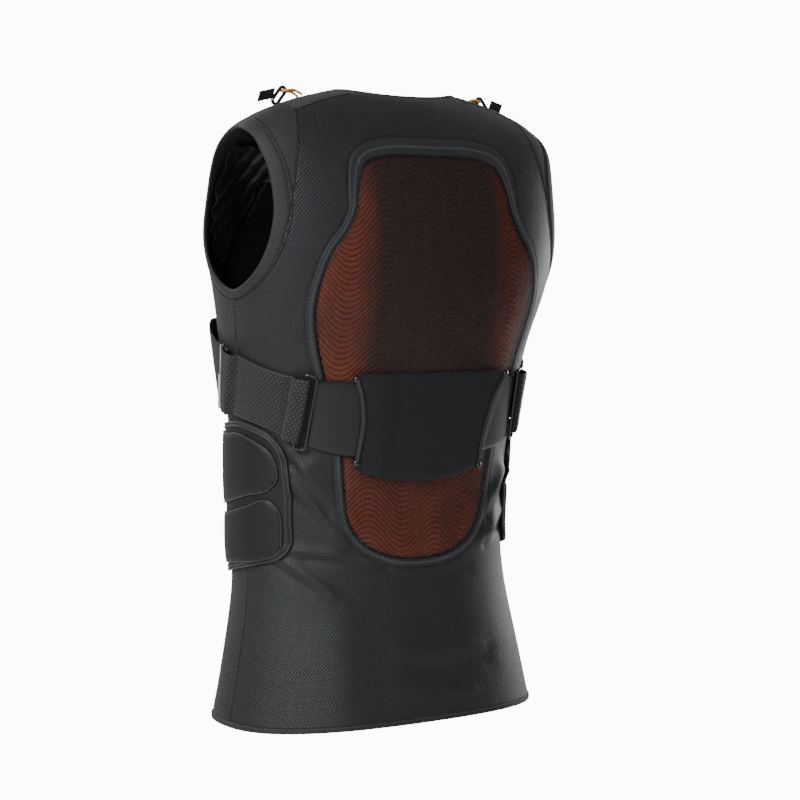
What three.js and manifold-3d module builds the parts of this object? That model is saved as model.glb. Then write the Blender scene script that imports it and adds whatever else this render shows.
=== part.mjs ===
// Protective vest: a sleeveless mesh body with a back protector in a window pocket, a waist
// belt drawn through rings, padded sides and bound edges, as it sits on a torso.
// Millimetres, +Z up, wearer's left is +X and the back is +Y. The origin is at the middle of
// the neck opening, level with the top of the shoulders.

import * as THREE from 'three';
import { mergeVertices } from 'three/addons/utils/BufferGeometryUtils.js';
import Module from 'manifold-3d';

const wasm = await Module();
wasm.setup();

// Body
const VEST_DROP = 650;
const CHEST_HALF_WIDTH = 196;
const BACK_DEPTH = 129;
const FRONT_DEPTH = 104;
const WALL = 1.6;
const FOLD_HEIGHT = 4;
const FOLD_SPREAD = 10;

// Clearances
const GAP = 0.3;
const SEAM_GAP = 0.8;
const LAYER_GAP = 0.9;
const PAD_GAP = 1.6;

// Bound edges
const BINDING_WIDTH = 9;
const BINDING_PROUD = 0.5;
const NECK_BINDING_ROWS = 0.34;
const NECK_GAP_ROWS = 0.03;
const HEM_BINDING_WIDTH = 6;

// Armholes
const ARMHOLE_TOP = 50;
const ARMHOLE_HEIGHT = 159;
const ARMHOLE_DEPTH = 132;
const ARMHOLE_MIDDLE_Y = 26;
const ARMHOLE_CUT_REACH = 14;
const CUT_RISE = 70;

// Back protector and its pocket
const PROTECTOR_TOP = 78;
const PROTECTOR_LENGTH = 402;
const PROTECTOR_HALF_WIDTH = 129;
const PROTECTOR_THICKNESS = 14;
const PROTECTOR_EDGE = 6;
const PROTECTOR_BULGE = 1.2;
const PROTECTOR_MIDDLE = 0.45;
const WINDOW_WALL = 1;
const WINDOW_MARGIN = 1;
const BORDER_WIDTH = 8;
const BORDER_TOP_EXTRA = 9;
const BORDER_TOP_DEPTH = 60;
const BORDER_PROUD = 0.8;
const LINING_WALL = 1.2;
const LINING_RIM = 10;
const POCKET_CUT_REACH = 10;

// Chest pad inside the front and the satin lining beside it
const CHEST_PAD_TOP = 92;
const CHEST_PAD_HEIGHT = 198;
const CHEST_PAD_HALF_WIDTH = 143;
const CHEST_PAD_THICKNESS = 7;
const CHEST_PAD_MIDDLE = 0.55;
const SATIN_TOP_RISE = 4;
const SATIN_BOTTOM = 0.48;
const SATIN_MARGIN = 5;
const SATIN_FOLD = 3;
const SATIN_FOLD_TURNS = [0.8, 1.9];

// Belt
const BELT_DROP = 299;
const BELT_WIDTH = 70;
const BELT_LIFT = 6.5;
const STRAP_THICKNESS = 1.8;
const WING_LIFT = 1.8;
const WING_THICKNESS = 1.5;
const TUNNEL_DROP = 291;
const TUNNEL_HEIGHT = 97;
const TUNNEL_SAG = 14;
const TUNNEL_HALF_WIDTH = 93;
const TUNNEL_WALL = 1.2;
const FRONT_OVERLAP = 10;

// Belt rings
const RING_HEIGHT = 79;
const RING_WIDTH = 15;
const RING_WIRE = 3.2;
const RING_THICKNESS = 2.4;
const RING_CORNER = 4;
// Room for the twist of the belt along a ring, which is flat.
const RING_TWIST = 1.3;
const RING_INNER_CORNER = 0.8;

// Side pads
const SIDE_PAD_TOP = 341;
const SIDE_PAD_HEIGHT = 159;
const SIDE_PAD_DEPTH = 143;
const SIDE_PAD_MIDDLE_Y = -16.5;
const SIDE_PAD_SEAT = 2.6;
const SIDE_PAD_BASE = 2.2;
const SIDE_PAD_LOBE = 4.4;

// Shoulder fittings
const YOKE_BACK_Y = 66;
const YOKE_DEPTH = 62;
const YOKE_SLANT = 6;
const YOKE_INNER_X = 20;
const YOKE_OUTER_X = 176;
const TAB_LENGTH = 16;
const TAB_WIDTH = 11;
const TAB_THICKNESS = 1.8;
const TAB_SLANT = 4.4;
const TAB_TILT = 60;
const TAB_HOLD = 6.6;
const CLIP_LENGTH = 22;
const CLIP_WIDTH = 9;
const CLIP_WIRE = 2.2;
const CLIP_THICKNESS = 2.4;
const CLIP_CORNER = 4;
const CLIP_SEAT = 1.3;
const CLIP_TILT = 38;
const CORD_RADIUS = 1.1;
const CORD_SPREAD = 4;
const CORD_REACH = 31;
const CORD_TURN = 2.8;
const CORD_ARCH = 2;
const CLIP_X = 131;
const CLIP_Y = 24;

// Fineness of the meshes
const BACK_COLUMNS = 23;
const FRONT_COLUMNS = 15;
const ROWS_PER_SECTION = 1.55;
const LOOP_POINTS = 36;
const PAD_LOOP_POINTS = 28;
const CHEST_LOOP_POINTS = 22;
const LINING_LOOP_POINTS = 26;
const LOBE_LOOP_POINTS = 16;
const ARMHOLE_POINTS = 26;
const CORD_SIDES = 5;
const CORD_STEPS = 9;
const RING_CORNER_STEPS = 1;
const SATIN_ROWS = 6;
const SATIN_COLUMNS = 7;
const BELT_ROWS = 3;
const ELASTIC_STEPS = 5;
const FRONT_STRAP_STEPS = 11;
const TUNNEL_ROWS = 5;
const TUNNEL_COLUMNS = 13;

const LOOKS = {
  body_mesh: { color: 0x25272b, roughness: 0.75, metalness: 0 },
  smooth_cloth: { color: 0x2b2c2e, roughness: 0.8, metalness: 0 },
  binding: { color: 0x1c1d1f, roughness: 0.7, metalness: 0 },
  ruched_cloth: { color: 0x2f3133, roughness: 0.9, metalness: 0 },
  satin_lining: { color: 0x121315, roughness: 0.3, metalness: 0 },
  foam_orange: { color: 0xb44a20, roughness: 0.55, metalness: 0 },
  window_mesh: { color: 0x5a2a1c, roughness: 0.7, metalness: 0 },
  tunnel_cloth: { color: 0x1e2226, roughness: 0.65, metalness: 0 },
  coated_wing: { color: 0x2e2f31, roughness: 0.45, metalness: 0 },
  elastic: { color: 0x2a2b2d, roughness: 0.85, metalness: 0 },
  ring_plastic: { color: 0x17181a, roughness: 0.25, metalness: 0 },
  neoprene: { color: 0x1d1e20, roughness: 0.65, metalness: 0 },
  cord_orange: { color: 0xe08a2c, roughness: 0.6, metalness: 0 },
};

function table(columns, rows) {
  return rows.map((row) => Object.fromEntries(columns.map((name, i) => [name, row[i]])));
}

// Sections of the body from the neck edge to the hem. Drops are shares of VEST_DROP, width of
// CHEST_HALF_WIDTH, back and seam of BACK_DEPTH, front of FRONT_DEPTH. Square is the power of
// the oval: 2 is an ellipse, more is squarer.
const SECTION_COLUMNS = [
  'dropBack', 'dropSide', 'dropFront', 'width', 'back', 'seam', 'front', 'square',
];
const SECTIONS = table(SECTION_COLUMNS, [
  [0.023, 0.014, 0.129, 0.337, 0.527, 0.295, 0.404, 2.2],
  [0.034, 0.020, 0.145, 0.439, 0.620, 0.295, 0.519, 2.2],
  [0.057, 0.034, 0.160, 0.612, 0.721, 0.295, 0.654, 2.25],
  [0.091, 0.057, 0.178, 0.806, 0.822, 0.295, 0.788, 2.3],
  [0.135, 0.095, 0.203, 0.949, 0.899, 0.287, 0.875, 2.35],
  [0.185, 0.160, 0.231, 0.995, 0.961, 0.279, 0.933, 2.4],
  [0.246, 0.237, 0.271, 1.000, 1.000, 0.264, 0.962, 2.4],
  [0.323, 0.323, 0.323, 0.939, 0.992, 0.217, 0.981, 2.35],
  [0.415, 0.415, 0.415, 0.867, 0.907, 0.085, 1.000, 2.3],
  [0.523, 0.523, 0.523, 0.801, 0.822, 0.000, 1.000, 2.3],
  [0.631, 0.631, 0.631, 0.781, 0.736, -0.047, 1.019, 2.3],
  [0.723, 0.723, 0.723, 0.770, 0.729, -0.062, 1.019, 2.3],
  [0.800, 0.800, 0.800, 0.781, 0.760, -0.008, 1.019, 2.3],
  [0.908, 0.908, 0.908, 0.847, 0.868, 0.023, 1.038, 2.3],
  [0.989, 0.998, 1.006, 0.908, 0.946, 0.031, 1.096, 2.3],
]);
const LAST_SECTION = SECTIONS.length - 1;

// Folds of the back cloth, each a ridge along a line. Across are shares of CHEST_HALF_WIDTH,
// drops of VEST_DROP, height of FOLD_HEIGHT and spread of FOLD_SPREAD.
const FOLDS = table(['acrossA', 'dropA', 'acrossB', 'dropB', 'height', 'spread'], [
  [0.60, 0.592, 0.40, 0.677, 1.0, 1.0],
  [0.65, 0.603, 0.47, 0.711, 0.7, 0.9],
  [-0.60, 0.612, -0.50, 0.711, 0.8, 1.0],
  [0.49, 0.860, 0.50, 0.985, 0.9, 2.6],
  [-0.05, 0.925, -0.38, 0.905, -0.5, 1.4],
]);

// Outline of the armhole seen from the side. Along is a share of half ARMHOLE_DEPTH from its
// middle, down a share of ARMHOLE_HEIGHT.
const ARMHOLE_OUTLINE = table(['along', 'down'], [
  [0.15, 0.0], [0.55, 0.06], [0.80, 0.20], [0.93, 0.37], [0.98, 0.56], [0.90, 0.73],
  [0.70, 0.87], [0.40, 0.965], [0.08, 1.0], [-0.28, 0.95], [-0.62, 0.84], [-0.88, 0.66],
  [-0.98, 0.45], [-0.86, 0.24], [-0.55, 0.09], [-0.20, 0.015],
]);

// Outline of the back protector, its wearer's left half from the top middle to the bottom
// middle. Across is a share of PROTECTOR_HALF_WIDTH, down of PROTECTOR_LENGTH.
const PROTECTOR_OUTLINE = table(['across', 'down'], [
  [0.0, 0.0], [0.42, 0.003], [0.60, 0.022], [0.68, 0.08], [0.72, 0.135], [0.80, 0.185],
  [0.91, 0.235], [0.98, 0.30], [1.0, 0.37], [0.96, 0.44], [0.88, 0.53], [0.78, 0.63],
  [0.70, 0.72], [0.66, 0.82], [0.62, 0.90], [0.50, 0.955], [0.28, 0.99], [0.0, 1.0],
]);

const CHEST_PAD_OUTLINE = table(['across', 'down'], [
  [0.0, 0.10], [0.35, 0.06], [0.56, 0.0], [0.64, 0.03], [0.70, 0.15], [0.78, 0.26],
  [0.90, 0.37], [0.98, 0.46], [1.0, 0.62], [0.88, 0.80], [0.66, 0.91], [0.35, 0.98],
  [0.0, 1.0],
]);

// Outlines of the side pad and its two lobes. Along is a share of SIDE_PAD_DEPTH from its
// middle towards the back, down a share of SIDE_PAD_HEIGHT.
const SIDE_PAD_OUTLINE = table(['along', 'down'], [
  [0.12, 0.0], [0.27, 0.02], [0.41, 0.07], [0.485, 0.165], [0.50, 0.28], [0.50, 0.43],
  [0.49, 0.61], [0.485, 0.77], [0.43, 0.85], [0.27, 0.90], [0.03, 0.95], [-0.24, 0.995],
  [-0.42, 0.96], [-0.50, 0.82], [-0.50, 0.39], [-0.48, 0.16], [-0.33, 0.06], [-0.10, 0.02],
]);
const SIDE_LOBES = {
  upper_lobe: table(['along', 'down'], [
    [-0.03, 0.085], [0.12, 0.075], [0.32, 0.125], [0.415, 0.19], [0.44, 0.34],
    [0.37, 0.42], [0.19, 0.465], [-0.10, 0.53], [-0.36, 0.56], [-0.435, 0.50],
    [-0.43, 0.20], [-0.31, 0.10],
  ]),
  lower_lobe: table(['along', 'down'], [
    [-0.10, 0.60], [0.18, 0.535], [0.36, 0.485], [0.43, 0.55], [0.44, 0.71],
    [0.42, 0.82], [0.29, 0.875], [0.10, 0.90], [-0.15, 0.93], [-0.36, 0.92],
    [-0.435, 0.83], [-0.43, 0.69], [-0.34, 0.63],
  ]),
};

// The belt's way round the left side, from the back to the front. Around is in degrees, 90
// at the middle of the back and 0 at the side; rise is a share of BELT_WIDTH above
// BELT_DROP, width of BELT_WIDTH and lift of BELT_LIFT. Slant is how many degrees further
// round to the back the top of a line across the belt lies than its bottom.
const BELT_WAY = table(['around', 'rise', 'width', 'lift', 'slant'], [
  [64, 0, 1.08, 0.10, 0], [54, 0.01, 1.04, 0.10, 0], [47, 0.03, 1, 0.10, 3],
  [41, 0.06, 0.97, 0.10, 6], [37, 0.08, 0.94, 0.10, 6.5], [30, 0.12, 0.91, 0.16, 7],
  [21, 0.20, 0.88, 0.20, 7.5], [11, 0.30, 0.90, 0.24, 8], [3, 0.39, 0.94, 0.27, 8.5],
  [-11, 0.55, 0.99, 0.35, 8.5], [-20, 0.74, 1.08, 0.95, 6], [-35, 0.86, 1.14, 1.15, 0],
  [-60, 0.92, 1.14, 0.45, 0], [-90, 0.95, 1.12, 0.30, 0], [-110, 0.95, 1.12, 0.30, 0],
]);
const WING_AROUND = [66, 61, 55, 49, 43.5];
const BACK_RING_AROUND = 40.5;
const SIDE_RING_AROUND = -6;
const FRONT_STRAP_AROUND = [-7.2, -10.2, -90];
const FRONT_LAP_AROUND = [50, 70];

// Where the elastic strap folds over the near bar of each ring, in degrees from the ring's
// middle: at the turned end, over the bar, past it and down on the body again.
const BACK_TURN = [0.5, 1.1, 6.2, 9.4];
const SIDE_TURN = [-0.2, 0.4, 4.8, 7.6];

// Heights of the belt tunnel change from its middle to the wings at these shares of its half.
const TUNNEL_STEP = [0.5, 0.72];

// Edges of the belt tunnel, where the belt leaves it. Down is a share of TUNNEL_HEIGHT, left
// and right shares of TUNNEL_HALF_WIDTH.
const TUNNEL_EDGES = table(['down', 'left', 'right'], [
  [0.0, 0.90, -1.10], [0.14, 0.85, -1.04], [0.35, 0.795, -0.965], [0.56, 0.785, -0.885],
  [0.78, 0.785, -0.81], [1.0, 0.815, -0.755],
]);

// Seam between the body and the shoulder panel, seen from behind. Across is a share of
// CHEST_HALF_WIDTH, drop of VEST_DROP.
const SHOULDER_SEAM = table(['across', 'drop'], [
  [0.62, -0.10], [0.65, 0.02], [0.67, 0.05], [0.70, 0.071], [0.74, 0.115], [0.77, 0.16],
  [0.805, 0.211], [0.86, 0.27],
]);

const clamp = (value, low, high) => Math.min(high, Math.max(low, value));
const lerp = (a, b, share) => a + (b - a) * share;
const ease = (share) => share * share * (3 - 2 * share);
const rising = (value, low, high) => ease(clamp((value - low) / (high - low), 0, 1));
const degrees = (angle) => (angle * Math.PI) / 180;

function catmull(before, start, end, after, share) {
  const slopeStart = (end - before) / 2;
  const slopeEnd = (after - start) / 2;
  const square = share * share;
  const cube = square * share;
  return (
    (2 * cube - 3 * square + 1) * start +
    (cube - 2 * square + share) * slopeStart +
    (3 * square - 2 * cube) * end +
    (cube - square) * slopeEnd
  );
}

// A table read between its rows: at 1.5, halfway from the second row to the third.
function readAt(rows, place) {
  const last = rows.length - 1;
  const i = clamp(Math.floor(place), 0, last - 1);
  const share = place - i;
  const [start, end] = [rows[i], rows[i + 1]];
  const row = {};
  for (const name of Object.keys(start)) {
    const before = i > 0 ? rows[i - 1][name] : 2 * start[name] - end[name];
    const after = i + 2 <= last ? rows[i + 2][name] : 2 * end[name] - start[name];
    row[name] = catmull(before, start[name], end[name], after, share);
  }
  return row;
}

// A table read where one of its columns has a given value, in straight steps.
function readWhere(rows, key, value) {
  const falling = rows[0][key] > rows[rows.length - 1][key];
  const passed = (row) => (falling ? row[key] <= value : row[key] >= value);
  const i = clamp(rows.findIndex(passed), 1, rows.length - 1);
  const [start, end] = [rows[i - 1], rows[i]];
  const share = (value - start[key]) / (end[key] - start[key]);
  return Object.fromEntries(
    Object.keys(start).map((name) => [name, lerp(start[name], end[name], share)]),
  );
}

function sectionAt(place) {
  const row = readAt(SECTIONS, place);
  return {
    back: { drop: row.dropBack * VEST_DROP, y: row.back * BACK_DEPTH },
    front: { drop: row.dropFront * VEST_DROP, y: -row.front * FRONT_DEPTH },
    sideDrop: row.dropSide * VEST_DROP,
    seamY: row.seam * BACK_DEPTH,
    halfWidth: row.width * CHEST_HALF_WIDTH,
    power: 2 / row.square,
  };
}

function foldAt(point) {
  let height = 0;
  for (const fold of FOLDS) {
    const start = new THREE.Vector2(fold.acrossA * CHEST_HALF_WIDTH, -fold.dropA * VEST_DROP);
    const end = new THREE.Vector2(fold.acrossB * CHEST_HALF_WIDTH, -fold.dropB * VEST_DROP);
    const line = end.clone().sub(start);
    const offset = new THREE.Vector2(point.x, point.z).sub(start);
    const share = clamp(offset.dot(line) / line.lengthSq(), 0, 1);
    const away = offset.sub(line.multiplyScalar(share)).length() / (fold.spread * FOLD_SPREAD);
    height += fold.height * FOLD_HEIGHT * Math.exp(-away * away);
  }
  return point.y > 0 ? height : 0;
}

// The outer face of the body cloth. Place runs down the sections, around is an angle in
// radians from the wearer's left side over the back.
function smoothPoint(place, around) {
  const section = sectionAt(place);
  const [cosine, sine] = [Math.cos(around), Math.sin(around)];
  const end = sine >= 0 ? section.back : section.front;
  const bulge = Math.abs(sine) ** section.power;
  return new THREE.Vector3(
    section.halfWidth * Math.sign(cosine) * Math.abs(cosine) ** section.power,
    lerp(section.seamY, end.y, bulge),
    -lerp(section.sideDrop, end.drop, sine * sine),
  );
}

function spotAt(place, around) {
  const step = 2e-3;
  const point = smoothPoint(place, around);
  const down = smoothPoint(place + step, around).sub(smoothPoint(place - step, around));
  const along = smoothPoint(place, around + step).sub(smoothPoint(place, around - step));
  const normal = down.cross(along).normalize();
  return { point: point.addScaledVector(normal, foldAt(point)), normal };
}

function solvePlace(dropAt, drop) {
  let [low, high] = [0, LAST_SECTION];
  for (let i = 0; i < 34; i += 1) {
    const middle = (low + high) / 2;
    if (dropAt(middle) < drop) low = middle;
    else high = middle;
  }
  return (low + high) / 2;
}

function levelSpot(around, drop) {
  const place = solvePlace((at) => -smoothPoint(at, around).z, drop);
  return spotAt(place, around);
}

// The spot of the back (side 1) or the front (side -1) behind a point seen from there.
function facingSpot(side, x, drop) {
  const cosineAt = (section) => clamp(Math.abs(x) / section.halfWidth, 0, 1) ** (1 / section.power);
  const dropAt = (place) => {
    const section = sectionAt(place);
    const end = side > 0 ? section.back : section.front;
    return lerp(section.sideDrop, end.drop, 1 - cosineAt(section) ** 2);
  };
  const place = solvePlace(dropAt, drop);
  const cosine = cosineAt(sectionAt(place)) * Math.sign(x || 1);
  return spotAt(place, Math.atan2(side * Math.sqrt(1 - cosine * cosine), cosine));
}

// The spot of the wearer's left side behind a point seen from there.
function sideSpot(y, drop) {
  const sineAt = (section) => {
    const reach = (y >= section.seamY ? section.back.y : section.front.y) - section.seamY;
    return clamp((y - section.seamY) / reach, 0, 1) ** (1 / section.power);
  };
  const dropAt = (place) => {
    const section = sectionAt(place);
    const end = y >= section.seamY ? section.back : section.front;
    return lerp(section.sideDrop, end.drop, sineAt(section) ** 2);
  };
  const place = solvePlace(dropAt, drop);
  const section = sectionAt(place);
  const sine = sineAt(section) * (y >= section.seamY ? 1 : -1);
  return spotAt(place, Math.asin(clamp(sine, -1, 1)));
}

const lifted = (spot, height) => spot.point.clone().addScaledVector(spot.normal, height);

// A closed body from points and triangles, with its faces pointing out.
function closedBody(points, triangles) {
  let volume = 0;
  for (const [a, b, c] of triangles) {
    volume += points[a].dot(points[b].clone().cross(points[c]));
  }
  const facing = volume >= 0 ? triangles : triangles.map(([a, b, c]) => [a, c, b]);
  const geometry = new THREE.BufferGeometry();
  geometry.setAttribute(
    'position',
    new THREE.Float32BufferAttribute(points.flatMap((p) => p.toArray()), 3),
  );
  geometry.setIndex(facing.flat());
  return geometry;
}

// A sheet with thickness over a grid of spots. Inner and outer give its two faces' heights
// over the body. A ring is closed from its last column to its first.
function sheet(spots, inner, outer, isRing = false) {
  const rows = spots.length;
  const columns = spots[0].length;
  const faces = [inner, outer];
  const points = faces.flatMap((height) =>
    spots.flatMap((row, r) => row.map((spot, c) => lifted(spot, height(r, c)))),
  );
  const at = (face, r, c) => (face * rows + r) * columns + (c % columns);
  const triangles = [];
  const quad = (a, b, c, d) => triangles.push([a, b, c], [a, c, d]);
  const steps = isRing ? columns : columns - 1;
  for (let c = 0; c < steps; c += 1) {
    for (let r = 0; r < rows - 1; r += 1) {
      quad(at(1, r, c), at(1, r + 1, c), at(1, r + 1, c + 1), at(1, r, c + 1));
      quad(at(0, r, c), at(0, r, c + 1), at(0, r + 1, c + 1), at(0, r + 1, c));
    }
    const last = rows - 1;
    quad(at(1, 0, c), at(1, 0, c + 1), at(0, 0, c + 1), at(0, 0, c));
    quad(at(1, last, c + 1), at(1, last, c), at(0, last, c), at(0, last, c + 1));
  }
  if (!isRing) {
    const last = columns - 1;
    for (let r = 0; r < rows - 1; r += 1) {
      quad(at(1, r + 1, 0), at(1, r, 0), at(0, r, 0), at(0, r + 1, 0));
      quad(at(1, r, last), at(1, r + 1, last), at(0, r + 1, last), at(0, r, last));
    }
  }
  return closedBody(points, triangles);
}

// A pad inside a closed outline. Each row of the profile is a ring of the outline drawn in
// to a share of its size, with the heights of the two faces there.
function pad(outline, centre, profile, spotOf) {
  const count = outline.length;
  const rings = profile.slice(0, -1);
  const points = [];
  const spotIn = (corner, share) => spotOf(corner.clone().lerp(centre, 1 - share));
  for (const ring of rings) {
    const spots = outline.map((corner) => spotIn(corner, ring.share));
    for (const face of ['outer', 'inner']) {
      points.push(...spots.map((spot) => lifted(spot, ring[face])));
    }
  }
  const middle = profile[profile.length - 1];
  const middleSpot = spotOf(centre);
  points.push(lifted(middleSpot, middle.outer), lifted(middleSpot, middle.inner));
  const at = (ring, face, i) => (2 * ring + face) * count + (i % count);
  const last = rings.length - 1;
  const triangles = [];
  for (let i = 0; i < count; i += 1) {
    for (let ring = 0; ring < last; ring += 1) {
      const [a, b] = [at(ring, 0, i), at(ring, 0, i + 1)];
      const [c, d] = [at(ring + 1, 0, i + 1), at(ring + 1, 0, i)];
      triangles.push([a, b, c], [a, c, d]);
      const shift = (k) => k + count;
      triangles.push([shift(a), shift(c), shift(b)], [shift(a), shift(d), shift(c)]);
    }
    triangles.push([at(last, 0, i), at(last, 0, i + 1), points.length - 2]);
    triangles.push([at(last, 1, i + 1), at(last, 1, i), points.length - 1]);
    triangles.push([at(0, 0, i + 1), at(0, 0, i), at(0, 1, i)]);
    triangles.push([at(0, 0, i + 1), at(0, 1, i), at(0, 1, i + 1)]);
  }
  return closedBody(points, triangles);
}

// A smooth closed outline through a few points, as evenly numbered corners.
function smoothLoop(corners, count) {
  const curve = new THREE.CatmullRomCurve3(
    corners.map((corner) => new THREE.Vector3(corner.x, corner.y, 0)),
    true,
    'centripetal',
  );
  return curve.getSpacedPoints(count).slice(0, count)
    .map((point) => new THREE.Vector2(point.x, point.y));
}

// An outline set outwards by a margin, which may change along it.
function grown(loop, marginOf) {
  const count = loop.length;
  const area = loop.reduce((sum, corner, i) => sum + corner.cross(loop[(i + 1) % count]), 0);
  return loop.map((corner, i) => {
    const along = loop[(i + 1) % count].clone().sub(loop[(i + count - 1) % count]).normalize();
    const out = new THREE.Vector2(along.y, -along.x).multiplyScalar(Math.sign(area));
    return corner.clone().addScaledVector(out, marginOf(corner));
  });
}

// A whole outline from the half of it on the wearer's left.
function wholeOutline(half) {
  const other = half.slice(1, -1).reverse().map((corner) => new THREE.Vector2(-corner.x, corner.y));
  return [...half, ...other];
}

function strip(geometry) {
  const bare = geometry.clone();
  for (const name of ['normal', 'uv']) bare.deleteAttribute(name);
  return mergeVertices(bare, 1e-4);
}

function toSolid(geometry) {
  const bare = strip(geometry);
  return new wasm.Manifold(new wasm.Mesh({
    numProp: 3,
    vertProperties: new Float32Array(bare.attributes.position.array),
    triVerts: new Uint32Array(bare.index.array),
  }));
}

function toGeometry(solid) {
  const mesh = solid.getMesh();
  const geometry = new THREE.BufferGeometry();
  geometry.setAttribute('position', new THREE.BufferAttribute(mesh.vertProperties, 3));
  geometry.setIndex(new THREE.BufferAttribute(mesh.triVerts, 1));
  return geometry;
}

const mirrorX = new THREE.Matrix4().makeScale(-1, 1, 1);

// The same piece for the wearer's right: mirrored, with its triangles turned to face out.
function mirrored(geometry) {
  const copy = strip(geometry).applyMatrix4(mirrorX);
  const index = copy.index.array;
  for (let i = 0; i < index.length; i += 3) {
    [index[i + 1], index[i + 2]] = [index[i + 2], index[i + 1]];
  }
  return copy;
}

// A plug through the cloth inside a closed line of spots, to cut an opening with.
function plug(spots, reach, rise) {
  const count = spots.length;
  const points = [reach, -reach].flatMap((height) => spots.map((spot) => lifted(spot, height)));
  const middle = new THREE.Vector3();
  const facing = new THREE.Vector3();
  for (const spot of spots) {
    middle.addScaledVector(spot.point, 1 / count);
    facing.addScaledVector(spot.normal, 1 / count);
  }
  facing.normalize();
  points.push(middle.clone().addScaledVector(facing, rise));
  points.push(middle.clone().addScaledVector(facing, -rise));
  const triangles = [];
  for (let i = 0; i < count; i += 1) {
    const next = (i + 1) % count;
    triangles.push([i, next, 2 * count], [count + next, count + i, 2 * count + 1]);
    triangles.push([next, i, count + i], [next, count + i, count + next]);
  }
  return closedBody(points, triangles);
}

function prism(corners, depth, place) {
  const geometry = new THREE.ExtrudeGeometry(new THREE.Shape(corners), {
    depth,
    bevelEnabled: false,
  });
  return geometry.applyMatrix4(place);
}

// The body cloth

function wallStations(aroundFrom, aroundTo, columns, isRing) {
  const steps = isRing ? columns : columns - 1;
  return Array.from({ length: columns }, (_, c) =>
    degrees(lerp(aroundFrom, aroundTo, c / steps)),
  );
}

// A place at a height above the hem. The last section lies this share of VEST_DROP under the
// one before it.
const HEM_STEP = 0.086;
const hemPlace = (height) => LAST_SECTION - height / (VEST_DROP * HEM_STEP);

function wallPlaces(from, to) {
  const count = Math.round((to - from) * ROWS_PER_SECTION);
  return Array.from({ length: count + 1 }, (_, r) => lerp(from, to, r / count));
}

function wall(stations, places, isRing) {
  const spots = places.map((place) => stations.map((around) => spotAt(place, around)));
  return sheet(spots, () => -WALL, () => 0, isRing);
}

const SEAM_AROUND = 2;
const SEAM_TURN = 0.15;
const wallRows = wallPlaces(NECK_BINDING_ROWS, hemPlace(HEM_BINDING_WIDTH + GAP));
const backStations = wallStations(SEAM_AROUND, 180 - SEAM_AROUND, BACK_COLUMNS, false);
const frontStations = wallStations(
  180 - SEAM_AROUND + SEAM_TURN,
  360 + SEAM_AROUND - SEAM_TURN,
  FRONT_COLUMNS,
  false,
);
const backWall = toSolid(wall(backStations, wallRows, false));
const frontWall = toSolid(wall(frontStations, wallRows, false));
const TOP_SECTIONS = 7;
const topPlaces = wallRows.filter((place) => place < TOP_SECTIONS);
const ringStations = [...backStations, ...frontStations.slice(1, -1)];
const topWall = toSolid(wall(ringStations, topPlaces, true));

// Armholes

function armholeCorners(margin) {
  const corners = ARMHOLE_OUTLINE.map((row) => new THREE.Vector2(
    ARMHOLE_MIDDLE_Y + (row.along * ARMHOLE_DEPTH) / 2,
    ARMHOLE_TOP + row.down * ARMHOLE_HEIGHT,
  ));
  return grown(smoothLoop(corners, ARMHOLE_POINTS), () => margin);
}

const armholeSpots = (margin) => armholeCorners(margin).map((c) => sideSpot(c.x, c.y));

function armholeBinding() {
  const rows = [0, BINDING_WIDTH].map(armholeSpots);
  return sheet(rows, () => -WALL - BINDING_PROUD, () => BINDING_PROUD, true);
}

const armholePlug = plug(armholeSpots(BINDING_WIDTH + SEAM_GAP), ARMHOLE_CUT_REACH, CUT_RISE);
const armholePlugs = toSolid(armholePlug).add(toSolid(mirrored(armholePlug)));

// Shoulder panels and yokes

function shoulderPrism(gap) {
  const seam = SHOULDER_SEAM.map((row) => new THREE.Vector2(
    row.across * CHEST_HALF_WIDTH - gap,
    -row.drop * VEST_DROP,
  ));
  const beyond = 2 * CHEST_HALF_WIDTH;
  seam.push(new THREE.Vector2(beyond, seam[seam.length - 1].y - gap));
  seam.push(new THREE.Vector2(beyond, seam[0].y));
  const depth = 2 * (BACK_DEPTH + FRONT_DEPTH);
  const turn = new THREE.Matrix4().makeRotationX(Math.PI / 2);
  turn.premultiply(new THREE.Matrix4().makeTranslation(0, depth / 2, 0));
  return prism(seam, depth, turn);
}

function yokePrism(gap) {
  const back = YOKE_BACK_Y + gap;
  const front = YOKE_BACK_Y - YOKE_DEPTH - gap;
  const corners = [
    [YOKE_INNER_X, front - YOKE_SLANT],
    [YOKE_OUTER_X, front + YOKE_SLANT],
    [YOKE_OUTER_X, back + YOKE_SLANT],
    [YOKE_INNER_X, back - YOKE_SLANT],
  ].map(([x, y]) => new THREE.Vector2(x, y));
  const place = new THREE.Matrix4().makeTranslation(0, 0, -VEST_DROP / 10);
  return prism(corners, VEST_DROP / 5, place);
}

const both = (geometry) => toSolid(geometry).add(toSolid(mirrored(geometry)));
const shoulderPanel = topWall.intersect(toSolid(shoulderPrism(0))).subtract(armholePlugs);
const yoke = topWall
  .intersect(toSolid(yokePrism(0)))
  .subtract(toSolid(shoulderPrism(GAP)));

// Back protector and pocket

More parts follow.
